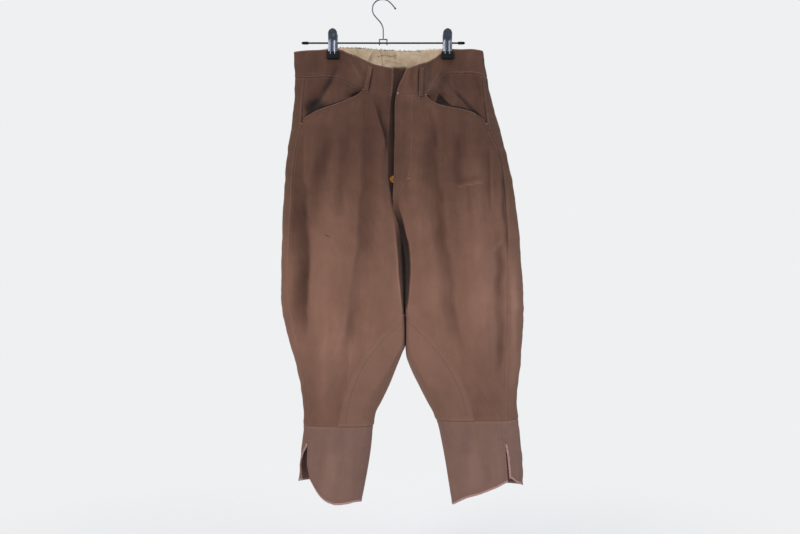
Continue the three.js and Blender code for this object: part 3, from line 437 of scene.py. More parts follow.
def wear_and_shade_at(points, face, side=None):
    """Wear and painted light and shade of the cloth at its points: by height, paler on ridges
    and darker in folds as wear and painted highlight and shade, with broad patches and narrow
    upright streaks, and with the cleft's painted shade and highlight where a side is given."""
    x, z = points[..., 0], points[..., 2]
    patches = 0.045 * uneven(x, z, 46, 90, 21) + 0.035 * uneven(x, z, 15, 120, 22)
    wear_and_shade = wear_and_light_by_height(z) + folds_at(FOLDS[face], x, z, TONE) + patches
    return wear_and_shade if side is None else wear_and_shade + cleft_shade_and_highlight(side, face, x, z)


def spot(x, z, x0, z0, across, down):
    """1 at a place and 0 past its reach across and down."""
    return 1 - smooth(np.hypot((x - x0) / across, (z - z0) / down), 0.2, 1)


# ---------------------------------------------------------------- meshes
def hex_rgb(code):
    """A linear colour from its sRGB hex code."""
    values = [int(code[i:i + 2], 16) / 255 for i in (1, 3, 5)]
    return tuple(v / 12.92 if v <= 0.04045 else ((v + 0.055) / 1.055) ** 2.4 for v in values) + (1,)


def build(name, vertices, faces, material, slot, stands_for=(), wear_and_shade=None, uv=None):
    """Makes a piece from points in millimetres, with its faces turned outwards, its wear and
    painted shade as an attribute and its own map in metres, and rides it on the part."""
    vertices = np.asarray(vertices, float).reshape(-1, 3)
    corners = vertices - vertices.mean(0)
    four = np.array([f for f in faces if len(f) == 4])
    a, b, c, d = (corners[four[:, i]] for i in range(4))
    if (np.cross(a, b) * c).sum() + (np.cross(a, c) * d).sum() < 0:
        faces = [f[::-1] for f in faces]
    mesh = bpy.data.meshes.new(name)
    mesh.from_pydata((vertices / 1000).tolist(), [], faces)
    mesh.polygons.foreach_set("use_smooth", [True] * len(mesh.polygons))
    if wear_and_shade is not None:
        worn_and_shaded = mesh.attributes.new("wear_and_shade", "FLOAT", "POINT")
        worn_and_shaded.data.foreach_set("value", np.broadcast_to(wear_and_shade, len(vertices)).astype(np.float32))
    if uv is not None:
        at = np.empty(len(mesh.loops), int)
        mesh.loops.foreach_get("vertex_index", at)
        layer = mesh.uv_layers.new(name="cut")
        layer.data.foreach_set("uv", (uv[at] / 1000).astype(np.float32).ravel())
    mesh.materials.append(material)
    mesh.validate()
    piece = bpy.data.objects.new(name, mesh)
    bpy.context.scene.collection.objects.link(piece)
    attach(piece, "root")
    if stands_for:
        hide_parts(*stands_for)
    return piece


def run_lengths(points, axis):
    """Distance along each line of a grid from its first point."""
    steps = np.linalg.norm(np.diff(points, axis=axis), axis=-1)
    return np.concatenate([np.zeros_like(np.take(steps, [0], axis)), np.cumsum(steps, axis)], axis)


def faces_out(points, facing):
    """Unit normals of a grid: across its columns and down its rows, turned by facing."""
    normal = np.cross(np.gradient(points, axis=1), np.gradient(points, axis=0)) * facing
    return normal / np.maximum(np.linalg.norm(normal, axis=-1, keepdims=True), 1e-9)


def edge_runs(points):
    """Distance of each point of a grid from its first column, last column, top and bottom."""
    across, down = run_lengths(points, 1), run_lengths(points, 0)
    return {"first": across, "last": across[:, -1:] - across, "top": down, "bottom": down[-1:] - down}


SEAM_RELIEF = 0.3  # a seam's groove and the ridge of its allowance, each from the plain face


def cells(grid):
    """The four corners of each cell of a grid of point numbers, in order round it."""
    return np.stack([grid[:-1, :-1], grid[1:, :-1], grid[1:, 1:], grid[:-1, 1:]], -1).reshape(-1, 4)


def strip(first, second):
    """The faces between two rows of point numbers."""
    return np.stack([first[:-1], first[1:], second[1:], second[:-1]], -1)


def wall(name, points, facing, thick, material, slot, stands_for, wear_and_shade, sewn=(), lift=0.0, joined=0.0):
    """A closed sheet of cloth from a grid. At a free edge both faces ease to the middle of the
    wall over half its thickness, and the cloth is worn paler. At a sewn edge, which sewn names
    with how much paler its ridge is worn, the sheet dips into the seam, darkened there with a
    little painted shade, and rises over the allowance behind it. Where joined is 1 the first edge
    meets its neighbour without either."""
    sewn = sewn if isinstance(sewn, dict) else dict.fromkeys(sewn, 0.03)
    normal = faces_out(points, facing)
    runs = edge_runs(points)
    free = [away + 99 * joined * (edge == "first") for edge, away in runs.items() if edge not in sewn]
    rim = 0 * runs["top"]
    if free:
        rim = thick / 2 * 0.92 * (1 - turned(np.min(free, 0) / (thick * 0.6)))
    worn_and_shaded = np.broadcast_to(wear_and_shade, points.shape[:2]) + sum(0.08 * (1 - smooth(away, 0.6, 3)) for away in free)
    dip = np.zeros(points.shape[:2])
    for edge, pale in sewn.items():
        away = runs[edge]
        ridge = smooth(away, 1, 3.5) * (1 - smooth(away, 7, 11))
        dip += SEAM_RELIEF * (1 - smooth(away, 0, 2)) - SEAM_RELIEF * ridge
        worn_and_shaded = worn_and_shaded + pale * smooth(away, 0.5, 2) * (1 - smooth(away, 3, 7))
        # painted shade in the seam's groove
        worn_and_shaded = worn_and_shaded - 0.05 * (1 - smooth(away, 0, 1.4))
    offset = (lift - dip)[..., None]
    outer = points + normal * (offset - rim[..., None])
    inner = points + normal * (offset - thick + rim[..., None])
    rows, columns = points.shape[:2]
    over = np.arange(rows * columns).reshape(rows, columns)
    under = over + rows * columns
    faces = [cells(over), cells(under)[:, ::-1], strip(over[0], under[0]), strip(under[-1], over[-1]),
             strip(under[:, 0], over[:, 0]), strip(over[:, -1], under[:, -1])]
    uv = np.stack([runs["first"], -points[..., 2]], -1).reshape(-1, 2)
    return build(name, np.concatenate([outer.reshape(-1, 3), inner.reshape(-1, 3)]),
                 np.concatenate(faces).tolist(), material, slot, stands_for,
                 np.tile(worn_and_shaded.ravel(), 2), np.tile(uv, (2, 1)))


def skin(rings):
    """Points and faces of closed rings in a row, each joined to the next, with both ends shut."""
    count, around = rings.shape[:2]
    grid = np.arange(count * around).reshape(count, around)
    after = np.roll(grid, -1, axis=1)
    sides = np.stack([grid[:-1], grid[1:], after[1:], after[:-1]], -1).reshape(-1, 4)
    return rings.reshape(-1, 3), [*sides.tolist(), grid[0].tolist(), grid[-1][::-1].tolist()]


def many(parts):
    """Points and faces of several skins as one mesh."""
    vertices, faces, start = [], [], 0
    for points, own in parts:
        vertices.append(points)
        faces += [[i + start for i in f] for f in own]
        start += len(points)
    return np.concatenate(vertices), faces


def circle(sides):
    """Unit circle's points as two columns."""
    angle = np.linspace(0, 2 * np.pi, sides, endpoint=False)
    return np.stack([np.cos(angle), np.sin(angle)], -1)


def swept(path, first, second, outline, scale=1.0):
    """An outline carried along a path: each ring is the path's point plus the outline's two
    columns times two unit directions, scaled where the path says."""
    path, scale = np.asarray(path, float), np.broadcast_to(scale, len(path))[:, None, None]
    first, second = np.broadcast_to(first, path.shape), np.broadcast_to(second, path.shape)
    flat = outline[None] * scale
    return skin(path[:, None] + flat[..., :1] * first[:, None] + flat[..., 1:] * second[:, None])


POLE = 0.02  # radius of the ring that stands for a pole


def lathed(profile, centre, axis, first, second, sides=48):
    """A profile of radius and height turned round an axis through a centre."""
    profile = np.maximum(np.asarray(profile, float), [POLE, -np.inf])
    path = np.asarray(centre, float) + profile[:, 1:] * np.asarray(axis, float)
    return swept(path, np.asarray(first, float), np.asarray(second, float), circle(sides), profile[:, 0])


def grid_of(side, columns, rows, round_of, height_of):
    """A grid of places on the cloth: round_of(side, u, z) gives round, and height_of(side, u, v,
    x) the height. Height and distance across are settled together in four passes."""
    u, v = np.meshgrid(columns, rows)
    z = height_of(side, u, v, np.zeros_like(u))
    for _ in range(4):
        z = height_of(side, u, v, x_at(side, round_of(side, u, z), z))
    return point_at(side, round_of(side, u, z), z)


def spaced(count, length, start=True, end=True):
    """Even steps from 0 to 1, with closer ones by the ends that are rounded or sewn."""
    close = np.array([0.25, 0.7, 1.4, 2.4, 3.8]) / length
    steps = [np.linspace(0, 1, count + 1)]
    steps += [close] if start else []
    steps += [1 - close] if end else []
    joined = np.unique(np.round(np.concatenate(steps), 6))
    keep = np.concatenate([[True], np.diff(joined) > 0.12 / length])
    return joined[keep]


# ---------------------------------------------------------------- materials
def node(tree, kind, settings=(), inputs=(), stops=()):
    """Adds a node: settings are its own properties, inputs its sockets' values or feeds, and
    stops the places and hex codes of a colour ramp."""
    made = tree.nodes.new("ShaderNode" + kind)
    for key, value in dict(settings).items():
        setattr(made, key, value)
    for key, value in dict(inputs).items():
        socket = made.inputs[key]
        if isinstance(value, bpy.types.NodeSocket):
            tree.links.new(value, socket)
        else:
            socket.default_value = value
    for _ in stops[2:]:
        made.color_ramp.elements.new(0.5)
    if stops:
        for element, (place, code) in zip(made.color_ramp.elements, stops):
            element.position, element.color = place, hex_rgb(code)
    return made


def surface(name, **sockets):
    """A new material and its main shader, with the sockets that are the same all over."""
    material = bpy.data.materials.new(name)
    material.use_nodes = True
    tree = material.node_tree
    tree.nodes.clear()
    shader = node(tree, "BsdfPrincipled", inputs={k.replace("_", " "): v for k, v in sockets.items()})
    tree.links.new(shader.outputs[0], node(tree, "OutputMaterial").inputs["Surface"])
    return material, tree, shader


def summed(tree, start, *terms):
    """A start plus each pattern times its share."""
    total = start
    for pattern, share in terms:
        step = node(tree, "Math", {"operation": "MULTIPLY_ADD"}, {0: pattern, 1: share, 2: total})
        total = step.outputs[0]
    return total


def finish(tree, shader, colour=None, rough=None, relief=None):
    """Feeds a shader: its colour from a tone and stops, its roughness from a pattern and two
    ends, and its relief from a height, a strength and a depth in metres."""
    if colour:
        tone, stops = colour
        tinted = node(tree, "ValToRGB", inputs={"Fac": tone}, stops=stops)
        tree.links.new(tinted.outputs["Color"], shader.inputs["Base Color"])
    if rough:
        pattern, low, high = rough
        spread = node(tree, "MapRange", inputs={"Value": pattern, "To Min": low, "To Max": high})
        tree.links.new(spread.outputs[0], shader.inputs["Roughness"])
    if relief:
        height, strength, deep = relief
        bump = node(tree, "Bump", inputs={"Strength": strength, "Distance": deep, "Height": height})
        tree.links.new(bump.outputs[0], shader.inputs["Normal"])


WAVE_STEP = 0.314  # metres between a wave texture's bands at scale 1
MOTTLE, STREAK, NAP = 0.17, 0.10, 0.13  # shares of the cotton's patterns in its tone
TWILL_STEP, THREAD_STEP = 0.0011, 0.0007


def thigh_mark(tree, at, nap):
    """Tone of a small dark mark on the right thigh, 17 by 4 mm and a little ragged."""
    near = node(tree, "Mapping", {"vector_type": "TEXTURE"}, {
        "Vector": at, "Location": (-0.1125, -0.040, -0.4945), "Rotation": (0, math.radians(32), 0),
        "Scale": (0.0075, 0.03, 0.0017)})
    far = node(tree, "VectorMath", {"operation": "LENGTH"}, {0: near.outputs[0]}).outputs["Value"]
    return node(tree, "MapRange", {"interpolation_type": "SMOOTHSTEP"}, {
        "Value": summed(tree, far, (nap, 1.6)), "From Min": 0.9, "From Max": 2.2, "To Min": -0.4,
        "To Max": 0.0}).outputs[0]


def brushed_cotton(name, stops, marked=False):
    """Heavy cotton twill, woven and then brushed on the face: dry and matt, with a short nap
    that catches light at a slant, mottled by wear and handling. The attribute of wear and painted
    light and shade picks the colour. The twill's lines are 1.1 mm apart and the nap's tufts about 2 mm."""
    material, tree, shader = surface(
        name, Roughness=0.94, Sheen_Weight=0.22, Sheen_Roughness=0.55, Sheen_Tint=hex_rgb("#e8cfc4"),
        Specular_IOR_Level=0.18)
    place = node(tree, "TexCoord")
    at, cut = place.outputs["Object"], place.outputs["UV"]
    worn_and_shaded = node(tree, "Attribute", {"attribute_name": "wear_and_shade"}).outputs["Fac"]
    streaked = node(tree, "Mapping", inputs={"Vector": cut, "Scale": (1, 0.12, 1)}).outputs[0]
    mottle, streak, nap = (node(tree, "TexNoise", inputs=own).outputs["Fac"] for own in (
        {"Vector": at, "Scale": 34, "Detail": 4, "Roughness": 0.6},
        {"Vector": streaked, "Scale": 120, "Detail": 2},
        {"Vector": at, "Scale": 480, "Detail": 2, "Roughness": 0.7}))
    centred = -(MOTTLE + STREAK + NAP) / 2
    tone = summed(tree, centred, (worn_and_shaded, 1), (mottle, MOTTLE), (streak, STREAK), (nap, NAP))
    if marked:
        tone = summed(tree, tone, (thigh_mark(tree, at, nap), 1))
    slanted = node(tree, "Mapping", inputs={"Vector": cut, "Rotation": (0, 0, math.radians(63))})
    twill = node(tree, "TexWave", {"wave_type": "BANDS", "bands_direction": "X"}, {
        "Vector": slanted.outputs[0], "Scale": WAVE_STEP / TWILL_STEP, "Distortion": 1.2,
        "Detail": 1}).outputs["Fac"]
    height = summed(tree, nap, (twill, 0.35), (mottle, 2.5))
    finish(tree, shader, (tone, stops), relief=(height, 0.55, 0.0006))
    return material


# Brown cotton, sun-faded: chocolate where it has kept its dye, dusty rose-brown where worn, and near black at
# the low end for painted shade.
thigh_cotton = brushed_cotton("brushed_cotton_thigh", [
    (0.0, "#150c0b"), (0.1, "#2a1b16"), (0.2, "#422c24"), (0.4, "#583e33"), (0.6, "#715245"),
    (0.8, "#836153"), (1.0, "#9b7567")], marked=True)
# The strappings take the wear of the knees: the same cotton, flatter and yellower.
strapping_cotton = brushed_cotton("brushed_cotton_strapping", [
    (0.0, "#2e201c"), (0.25, "#5a4439"), (0.5, "#715447"), (0.75, "#856355"), (1.0, "#9a786b")])
# The calves are hidden by boots, so they have kept a greyer, pinker brown.
calf_cotton = brushed_cotton("brushed_cotton_calf", [
    (0.0, "#33261f"), (0.25, "#5a453e"), (0.5, "#725850"), (0.75, "#86685d"), (1.0, "#9c7d73")])


def plain_cotton(name, pale, dark, shade):
    """Thin unbleached cotton in plain weave: off-white, with creases and a little foxing. Its
    threads are 0.7 mm apart."""
    material, tree, shader = surface(name, Roughness=0.88, Sheen_Weight=0.1, Specular_IOR_Level=0.25)
    place = node(tree, "TexCoord")
    at, cut = place.outputs["Object"], place.outputs["UV"]
    worn_and_shaded = node(tree, "Attribute", {"attribute_name": "wear_and_shade"}).outputs["Fac"]
    spots = node(tree, "TexNoise", inputs={"Vector": at, "Scale": 70, "Detail": 4}).outputs["Fac"]
    warp, weft = (node(tree, "TexWave", {"bands_direction": way}, {
        "Vector": cut, "Scale": WAVE_STEP / THREAD_STEP, "Distortion": 0.6}).outputs["Fac"] for way in "XY")
    tone = summed(tree, worn_and_shaded, (spots, 0.35))
    height = summed(tree, warp, (weft, 1), (spots, 3.0))
    finish(tree, shader, (tone, [(0.1, shade), (0.5, dark), (0.85, pale)]), relief=(height, 0.6, 0.0004))
    return material


lining_cotton = plain_cotton("plain_cotton_lining", "#cbb89f", "#b09b82", "#57493b")


def speckled(tree, grain, **own):
    """A pattern on the piece's own place, with grains of a size in metres."""
    at = node(tree, "TexCoord").outputs["Object"]
    return node(tree, "TexNoise", inputs={"Vector": at, "Scale": 1 / grain, **own}).outputs["Fac"]


def trim(name, first, second, size, roughness, sheen=0.2):
    """Thread or woven tape: two close colours mixed at the size of its twist, with a soft sheen."""
    material, tree, shader = surface(name, Roughness=roughness, Sheen_Weight=sheen)
    twist = speckled(tree, size, Detail=2)
    finish(tree, shader, (twist, [(0.35, first), (0.65, second)]), relief=(twist, 0.5, 0.0003))
    return material


rose_tape = trim("cotton_binding_tape", "#8b6763", "#b18d8b", 0.002, 0.85)  # faded pink bias tape
brown_thread = trim("cotton_thread_brown", "#66493c", "#846252", 0.0008, 0.7)
tack_thread = trim("cotton_thread_tack", "#835f4f", "#a8846f", 0.0008, 0.7)
seam_thread = trim("cotton_thread_dark", "#4a3128", "#6a4b3e", 0.0008, 0.75)
pale_thread = trim("cotton_thread_pale", "#c9a996", "#e6d3c6", 0.0008, 0.7)
black_thread = trim("cotton_thread_black", "#1d191b", "#3a3334", 0.0008, 0.7)


def plated(name, code, low, high, grain):
    """Nickel-chrome plate on drawn wire or pressed sheet: mirror-bright and cool, dulled by fine
    rubbed scratches that vary its roughness."""
    material, tree, shader = surface(name, Metallic=1.0, Base_Color=hex_rgb(code))
    rubbed = speckled(tree, grain, Detail=4, Roughness=0.7)
    finish(tree, shader, rough=(rubbed, low, high), relief=(rubbed, 0.12, 0.0002))
    return material


chrome = plated("chrome_plate", "#5c636f", 0.26, 0.42, 0.004)


def aged_brass():
    """Old brass button: ochre and dull, mottled darker with tarnish."""
    material, tree, shader = surface("aged_brass", Metallic=0.85)
    tarnish = speckled(tree, 1 / 420, Detail=3)
    finish(tree, shader, (tarnish, [(0.35, "#5c3a1c"), (0.6, "#b67f3a")]), (tarnish, 0.28, 0.6))
    return material


brass = aged_brass()


def black_goods(name, first, second, low, high, grain, strength):
    """Black rubber or dipped vinyl: near black, with scuffs that lift its roughness."""
    material, tree, shader = surface(name, Specular_IOR_Level=0.16)
    scuff = speckled(tree, grain, Detail=4)
    stops = [(0.4, first), (0.7, second)]
    finish(tree, shader, (scuff, stops), (scuff, low, high), (scuff, strength, 0.0003))
    return material


rubber = black_goods("moulded_rubber", "#08090c", "#14161b", 0.55, 0.8, 0.0015, 0.4)
coated_wire = black_goods("dip_coated_wire", "#0c0d10", "#181a1e", 0.25, 0.42, 0.004, 0.1)

# ---------------------------------------------------------------- places on the pieces
PANEL_LENGTH = 690  # a thigh panel's run down, which spaces its rows
TOP_SHARE = 4 / 23  # share of a thigh panel's rows that lie above LEVEL
SEAM_TOP, BAND_MIDDLE = -165, -140  # heights where the side seam is followed on to the band
SHOWN, FACING_DROP = 0.45, 74  # share of a facing's rows above the mouth, and its drop behind it
panel_rows = spaced(188, PANEL_LENGTH)
mouth_end = {s: MOUTH[s][0][0] for s in SIDES}


def past_mouth_end(side, x):
    """Whether a place is on the pocket's side of the mouth's inner end."""
    return OUT[side] * (x - mouth_end[side]) > 0


def back_seam(x):
    """The band's seam on the back: the band's depth below its top."""
    return back_top(x) - BACK_BAND


def band_line(front_line, back_line, round_, x):
    """The band's seam or top all round: the front's line and the back's, eased together at the
    outer edge."""
    on_rear = smooth(round_, 0.9, 1.1)
    return front_line(x) * (1 - on_rear) + back_line(x) * on_rear


def on_front(side, u, z):
    """Round across a front piece, from its inner edge to the side seam."""
    return u * side_seam(side, z)


def on_back(side, u, z):
    """Round across a back piece, from the side seam to its inner edge."""
    return side_seam(side, z) + u * (2 - side_seam(side, z))


def thigh_height(side, v, top):
    """Height of a thigh row: down from the panel's own top edge, and level below LEVEL."""
    low = LEVEL + (KNEE[side] - LEVEL) * (v - TOP_SHARE) / (1 - TOP_SHARE)
    return np.where(v <= TOP_SHARE, top + (LEVEL - top) * v / TOP_SHARE, low)


def thigh_front_height(side, u, v, x):
    """Rows that start at the pocket mouth, or at the band's seam inside it."""
    return thigh_height(side, v, np.where(past_mouth_end(side, x), mouth[side](x), band_seam[side](x)))


def thigh_back_height(side, u, v, x):
    """Rows that start at the band's seam."""
    round_ = on_back(side, u, SEAM_TOP)
    return thigh_height(side, v, band_line(band_seam[side], back_seam, round_, x))


def on_calf_back(side, u, z):
    """Round across a calf's back piece: its slit edge stands open, and the gap closes as the
    sixth power of the distance to the inseam."""
    edge = section[side + "_seam"](z) + OUT[side] * slit_gap[side](z)
    opened = round_at(side, edge, z) - side_seam(side, z)
    return on_back(side, u, z) + opened * (1 - u) ** 6


def calf_front_height(side, u, v, x):
    """Rows in even shares from the knee seam to the hem."""
    return KNEE[side] + (hem[side](1 - u) - KNEE[side]) * v


def calf_back_height(side, u, v, x):
    """Rows down to the back hem: rounded off by the slit, then level, then up to the front's."""
    by_slit, by_edge = BACK_HEM[side]
    low = by_slit + (by_edge - by_slit) * smooth(u, 0, 0.24) + SLIT_FOOT[side] * (1 - smooth(u, 0, 0.08))
    low = low + (hem[side](1.0) - by_edge) * smooth(u, 0.5, 1)
    return KNEE[side] + (low - KNEE[side]) * v


def on_band(side, u, z):
    """Round along the waistband: 0 at the fly, 1 at the side seam and 2 at the centre back."""
    seam = side_seam(side, z)
    return np.where(u <= 1, u * seam, seam + (u - 1) * (2 - seam))


def band_height(side, u, v, x):
    """Rows in even shares from the band's top to its seam."""
    round_ = on_band(side, u, BAND_MIDDLE)
    top = band_line(band_top[side], back_top, round_, x)
    return top + (band_line(band_seam[side], back_seam, round_, x) - top) * v


def on_facing(side, u, z):
    """Round across a pocket facing, from just inside the mouth's end to the side seam."""
    start = round_at(side, mouth_end[side] - OUT[side] * 6, z)
    return start + u * (side_seam(side, z) - start)


def facing_height(side, u, v, x):
    """Rows from the band's seam to the mouth, and on down behind the thigh front."""
    seam = band_seam[side](x)
    edge = np.where(past_mouth_end(side, x), mouth[side](x), seam - 2)
    return np.where(v <= SHOWN, seam + (edge - seam) * v / SHOWN,
                    edge - FACING_DROP * (v - SHOWN) / (1 - SHOWN))


# ---------------------------------------------------------------- thigh panels
garment = {}
front_grid, back_grid = {}, {}
front_columns, back_columns = spaced(104, 240, start=False), spaced(124, 300)
for s in SIDES:
    points = grid_of(s, front_columns, panel_rows, on_front, thigh_front_height)
    front_grid[s] = points
    # the mouth's edge stands a little proud of the facing behind it
    by_mouth = 1 - smooth(edge_runs(points)["top"], 0, 14)
    proud = 1.2 * np.where(past_mouth_end(s, points[..., 0]), by_mouth, 0)
    below_fly = smooth(-points[..., 2], -FLY_BOTTOM - 4, -FLY_BOTTOM + 6)
    garment["front_" + s] = wall(
        "thigh_front_" + s, points, -OUT[s], CLOTH, thigh_cotton, "cloth", ["front_" + s],
        wear_and_shade_at(points, "front", s), ("last", "bottom"), proud, below_fly)
    points = grid_of(s, back_columns, panel_rows, on_back, thigh_back_height)
    back_grid[s] = points
    garment["back_" + s] = wall(
        "thigh_back_" + s, points, -OUT[s], CLOTH, thigh_cotton, "cloth", ["back_" + s],
        wear_and_shade_at(points, "back", s), ("first", "last", "top", "bottom"))

# ---------------------------------------------------------------- calf pieces
CALF = {  # steps across, the inseam's edge, and the functions of its places
    "front": (spaced(80, 190), "first", on_front, calf_front_height),
    "back": (spaced(90, 210), "last", on_calf_back, calf_back_height),
}
calf_grid = {}
for s in SIDES:
    for face, (columns, inseam, round_of, height_of) in CALF.items():
        points = grid_of(s, columns, spaced(64, 165), round_of, height_of)
        calf_grid[face, s] = points
        piece = f"calf_{face}_{s}"
        garment[piece] = wall(
            piece + "_cotton", points, -OUT[s], CLOTH, calf_cotton, "calf_cloth", [piece],
            wear_and_shade_at(points, face), {inseam: 0.03, "top": 0.05})

# ---------------------------------------------------------------- knee strappings
STRAP_WALL = 1.3
strap_grid = {}
for s in SIDES:
    v, u = np.meshgrid(spaced(72, 230), spaced(88, 300), indexing="ij")
    top = STRAPPING[s][0][0]
    z = top + (KNEE[s] - top) * v**1.15
    edge = round_at(s, strapping_x[s](z), z)
    on_face = u <= 0.5  # from the front edge to the inseam, and then on to the back edge
    over = np.where(on_face, edge * (1 - 2 * u), edge * (2 * u - 1))
    points = np.where(on_face[..., None], point_at(s, over, z), point_at(s, 2 - over, z))
    strap_grid[s] = points
    runs = edge_runs(points)
    inside_edges = np.minimum(smooth(runs["first"], 0, 1.5), smooth(runs["last"], 0, 1.5))
    wear_and_shade = 0.7 * np.where(on_face, wear_and_shade_at(points, "front"), wear_and_shade_at(points, "back")) + 0.16
    garment["strapping_" + s] = wall(
        "knee_strapping_" + s + "_cotton", points, OUT[s], STRAP_WALL, strapping_cotton, "cloth",
        ["knee_strapping_" + s], wear_and_shade, {"bottom": 0.12}, 0.9 + 0.6 * inside_edges)

# ---------------------------------------------------------------- waistband and lining
# The front belt loops: each one's middle, and how far it leans over its height.
LOOP_X = {"right": -30.5, "left": 78.5}
LOOP_LEAN = {"right": 9, "left": 2}


def loop_shade(side, x, z):
    """Shade on the band beside its front loop: 0.24 on the wearer's right of it, 0.12 on the left."""
    lean = LOOP_LEAN["right"] * (0.5 + (z + 150) / 50) if side == "right" else 0
    beside = x - (LOOP_X[side] + lean)
    near = (1 - smooth(np.abs(beside), 4.5, 8)) * (1 - smooth(np.abs(z + 174), 20, 30))
    return np.where(beside < 0, 0.24, 0.12) * near


band_columns = np.unique(np.concatenate([spaced(96, 220), 1 + spaced(110, 230, start=False)]))
band_grid = {}
for s in SIDES:
    points = grid_of(s, band_columns, spaced(26, 55), on_band, band_height)
    band_grid[s] = points
    x, z = points[..., 0], points[..., 2]
    on_face = points[..., 1] < 0
    wear_and_shade = np.where(on_face, wear_and_shade_at(points, "front") - loop_shade(s, x, z), wear_and_shade_at(points, "back"))
    garment["waistband_" + s] = wall(
        "waistband_" + s + "_cotton", points, -OUT[s], BAND, thigh_cotton, "cloth", ["waistband_" + s],
        wear_and_shade, {"last": 0.03, "bottom": 0.13 * smooth(x, 140, 165) * on_face})

# The lining's creases, with the fold tables' columns; their tone is painted shade.
FOLDS["lining"] = rows_of("""
x0 z0 x1 z1 bow left right height tone
-18  -98  -36 -140 0 2.5 6 -1.2 -0.22
-70  -106 -38 -128 0 3   2 -0.8 -0.24
-64  -112 -36 -134 0 2   3 -0.6 -0.16
50   -110 84  -115 0 3   3 -0.8 -0.20
-6   -122 44  -134 2 4   3 -0.8 -0.14
20   -100 30  -140 0 3   6 -0.8 -0.10
66   -118 96  -134 0 3   3 -0.6 -0.12
""")[1]
LINING_COLUMNS = 78  # of each half of the band, from the centre back
LINING_LIFT, LINING_WALL = -BAND - 1.6, 1.0


def lining_wrinkle(x, z):
    """How far the lining's face stands off its line: two slanted crumples and its creases."""
    crumple = 1.0 * uneven(x + 0.6 * z, z, 17, 26, 31) + 0.6 * uneven(x - 0.9 * z, z, 9, 15, 32)
    return crumple + folds_at(FOLDS["lining"], x, z, HEIGHT)


def lining_tone(points):
    """The lining's tone: painted light and shade on its crumples and creases, a paler frayed
    top, and painted shade over the fly's gap.
    """
    x, z = points[..., 0], points[..., 2]
    crumple_light_and_shade = 0.14 * uneven(x + 0.6 * z, z, 17, 26, 31) + 0.10 * uneven(x, z, 6, 9, 33)
    frayed = 0.2 * (1 - smooth(edge_runs(points)["top"], 0, 5))
    shade_over_gap = 0.6 * smooth(x, 12, 20) * (1 - smooth(x, 46, 54)) * smooth(-z, 135, 141)
    return 0.45 + crumple_light_and_shade + folds_at(FOLDS["lining"], x, z, TONE) + frayed - shade_over_gap


halves = {s: band_grid[s][:, -LINING_COLUMNS:] for s in SIDES}
middle = (halves["right"][:, -1:] + halves["left"][:, -1:]) / 2
points = np.concatenate([halves["right"][:, :-1], middle, halves["left"][:, :-1][:, ::-1]], 1)
garment["lining"] = wall(
    "waistband_lining_cotton", points, 1, LINING_WALL, lining_cotton, "lining", ["waistband_lining"],
    lining_tone(points), (), LINING_LIFT + lining_wrinkle(points[..., 0], points[..., 2]))

# ---------------------------------------------------------------- pocket facings
GAPE = {"right": (-57, -202), "left": (119, -213)}  # where each mouth hangs open furthest


def facing_shade(side, x, z):
    """Shade on a facing: a dark line along the mouth, and the hollows where it hangs open."""
    above = z - mouth[side](x)
    shade = 0.34 * (1 - smooth(above, 2.8, 5.0)) + 0.05 * (1 - smooth(above, 4, 24))
    if side == "right":
        return shade + 0.4 * spot(x, z, -57, -201, 18, 8) + 0.23 * spot(x, z, -140, -228, 36, 26)
    gap_top = -198 - 1.0 * np.maximum(x - 117, 0) - 2.2 * np.maximum(117 - x, 0)
    in_gap = smooth(gap_top - z, -1.5, 1.5) * (1 - smooth(x, 132, 144))
    return shade + 0.75 * in_gap + 0.06 * (1 - smooth(x, 100, 112))


for s in SIDES:
    points = grid_of(s, spaced(70, 150), spaced(56, 130), on_facing, facing_height)
    x, z = points[..., 0], points[..., 2]
    seam, edge = band_seam[s](x), mouth[s](x)
    down = smooth(seam - z, 0, np.maximum(seam - edge, 4))
    sunk = 3.1 * down + 6 * spot(x, z, *GAPE[s], 34, 20) * down + 3 * smooth(edge + 12 - z, 0, 30)
    garment["facing_" + s] = wall(
        "pocket_facing_" + s + "_cotton", points, -OUT[s], 1.2, thigh_cotton, "cloth",
        ["pocket_facing_" + s], wear_and_shade_at(points, "front") - facing_shade(s, x, z), {"top": 0, "last": 0.05},
        -0.1 - sunk)

# ---------------------------------------------------------------- fly
def stand_y(x, z):
    """The button stand's face: close behind the right front, and 7 mm behind the left one."""
    right, left = section["right_in"](z), section["left_in"](z)
    behind_right = CLOTH + 1.4 - depth("right", "front", np.minimum(x, right), z)
    behind_left = 7 - depth("left", "front", np.maximum(x, left), z)
    share = smooth(x, right, np.maximum(left, right + 0.5))
    return behind_right * (1 - share) + behind_left * share


def stand_shade(x, z):
    """The stand's painted shade: dark in the wedge seen in the open top of the fly, and in the
    narrow gap below it turning black against the left front's edge."""
    right, left = section["right_in"](z), section["left_in"](z)
    across = np.clip((x - right) / np.maximum(left - right, 1), 0, 1)
    wedge = 0.15 - 0.10 * smooth(-z, 168, 205)
    gap = 0.17 * (1 - across) ** 1.5
    return wedge + (gap - wedge) * smooth(-z, 196, 226) + 0.03 * uneven(x, z, 12, 40, 41)


v, u = np.meshgrid(spaced(110, 270), spaced(22, 50), indexing="ij")
z = STAND_TOP + (FLY_BOTTOM + 6 - STAND_TOP) * v
first = section["right_in"](z) - 9
x = first + (section["left_in"](z) + FLY_WIDTH * (1 - 0.55 * v**4) - first) * u
garment["stand"] = wall("fly_stand_cotton", np.stack([x, stand_y(x, z), z], -1), 1, CLOTH, thigh_cotton,
                        "cloth", ["fly_button_stand"], stand_shade(x, z))

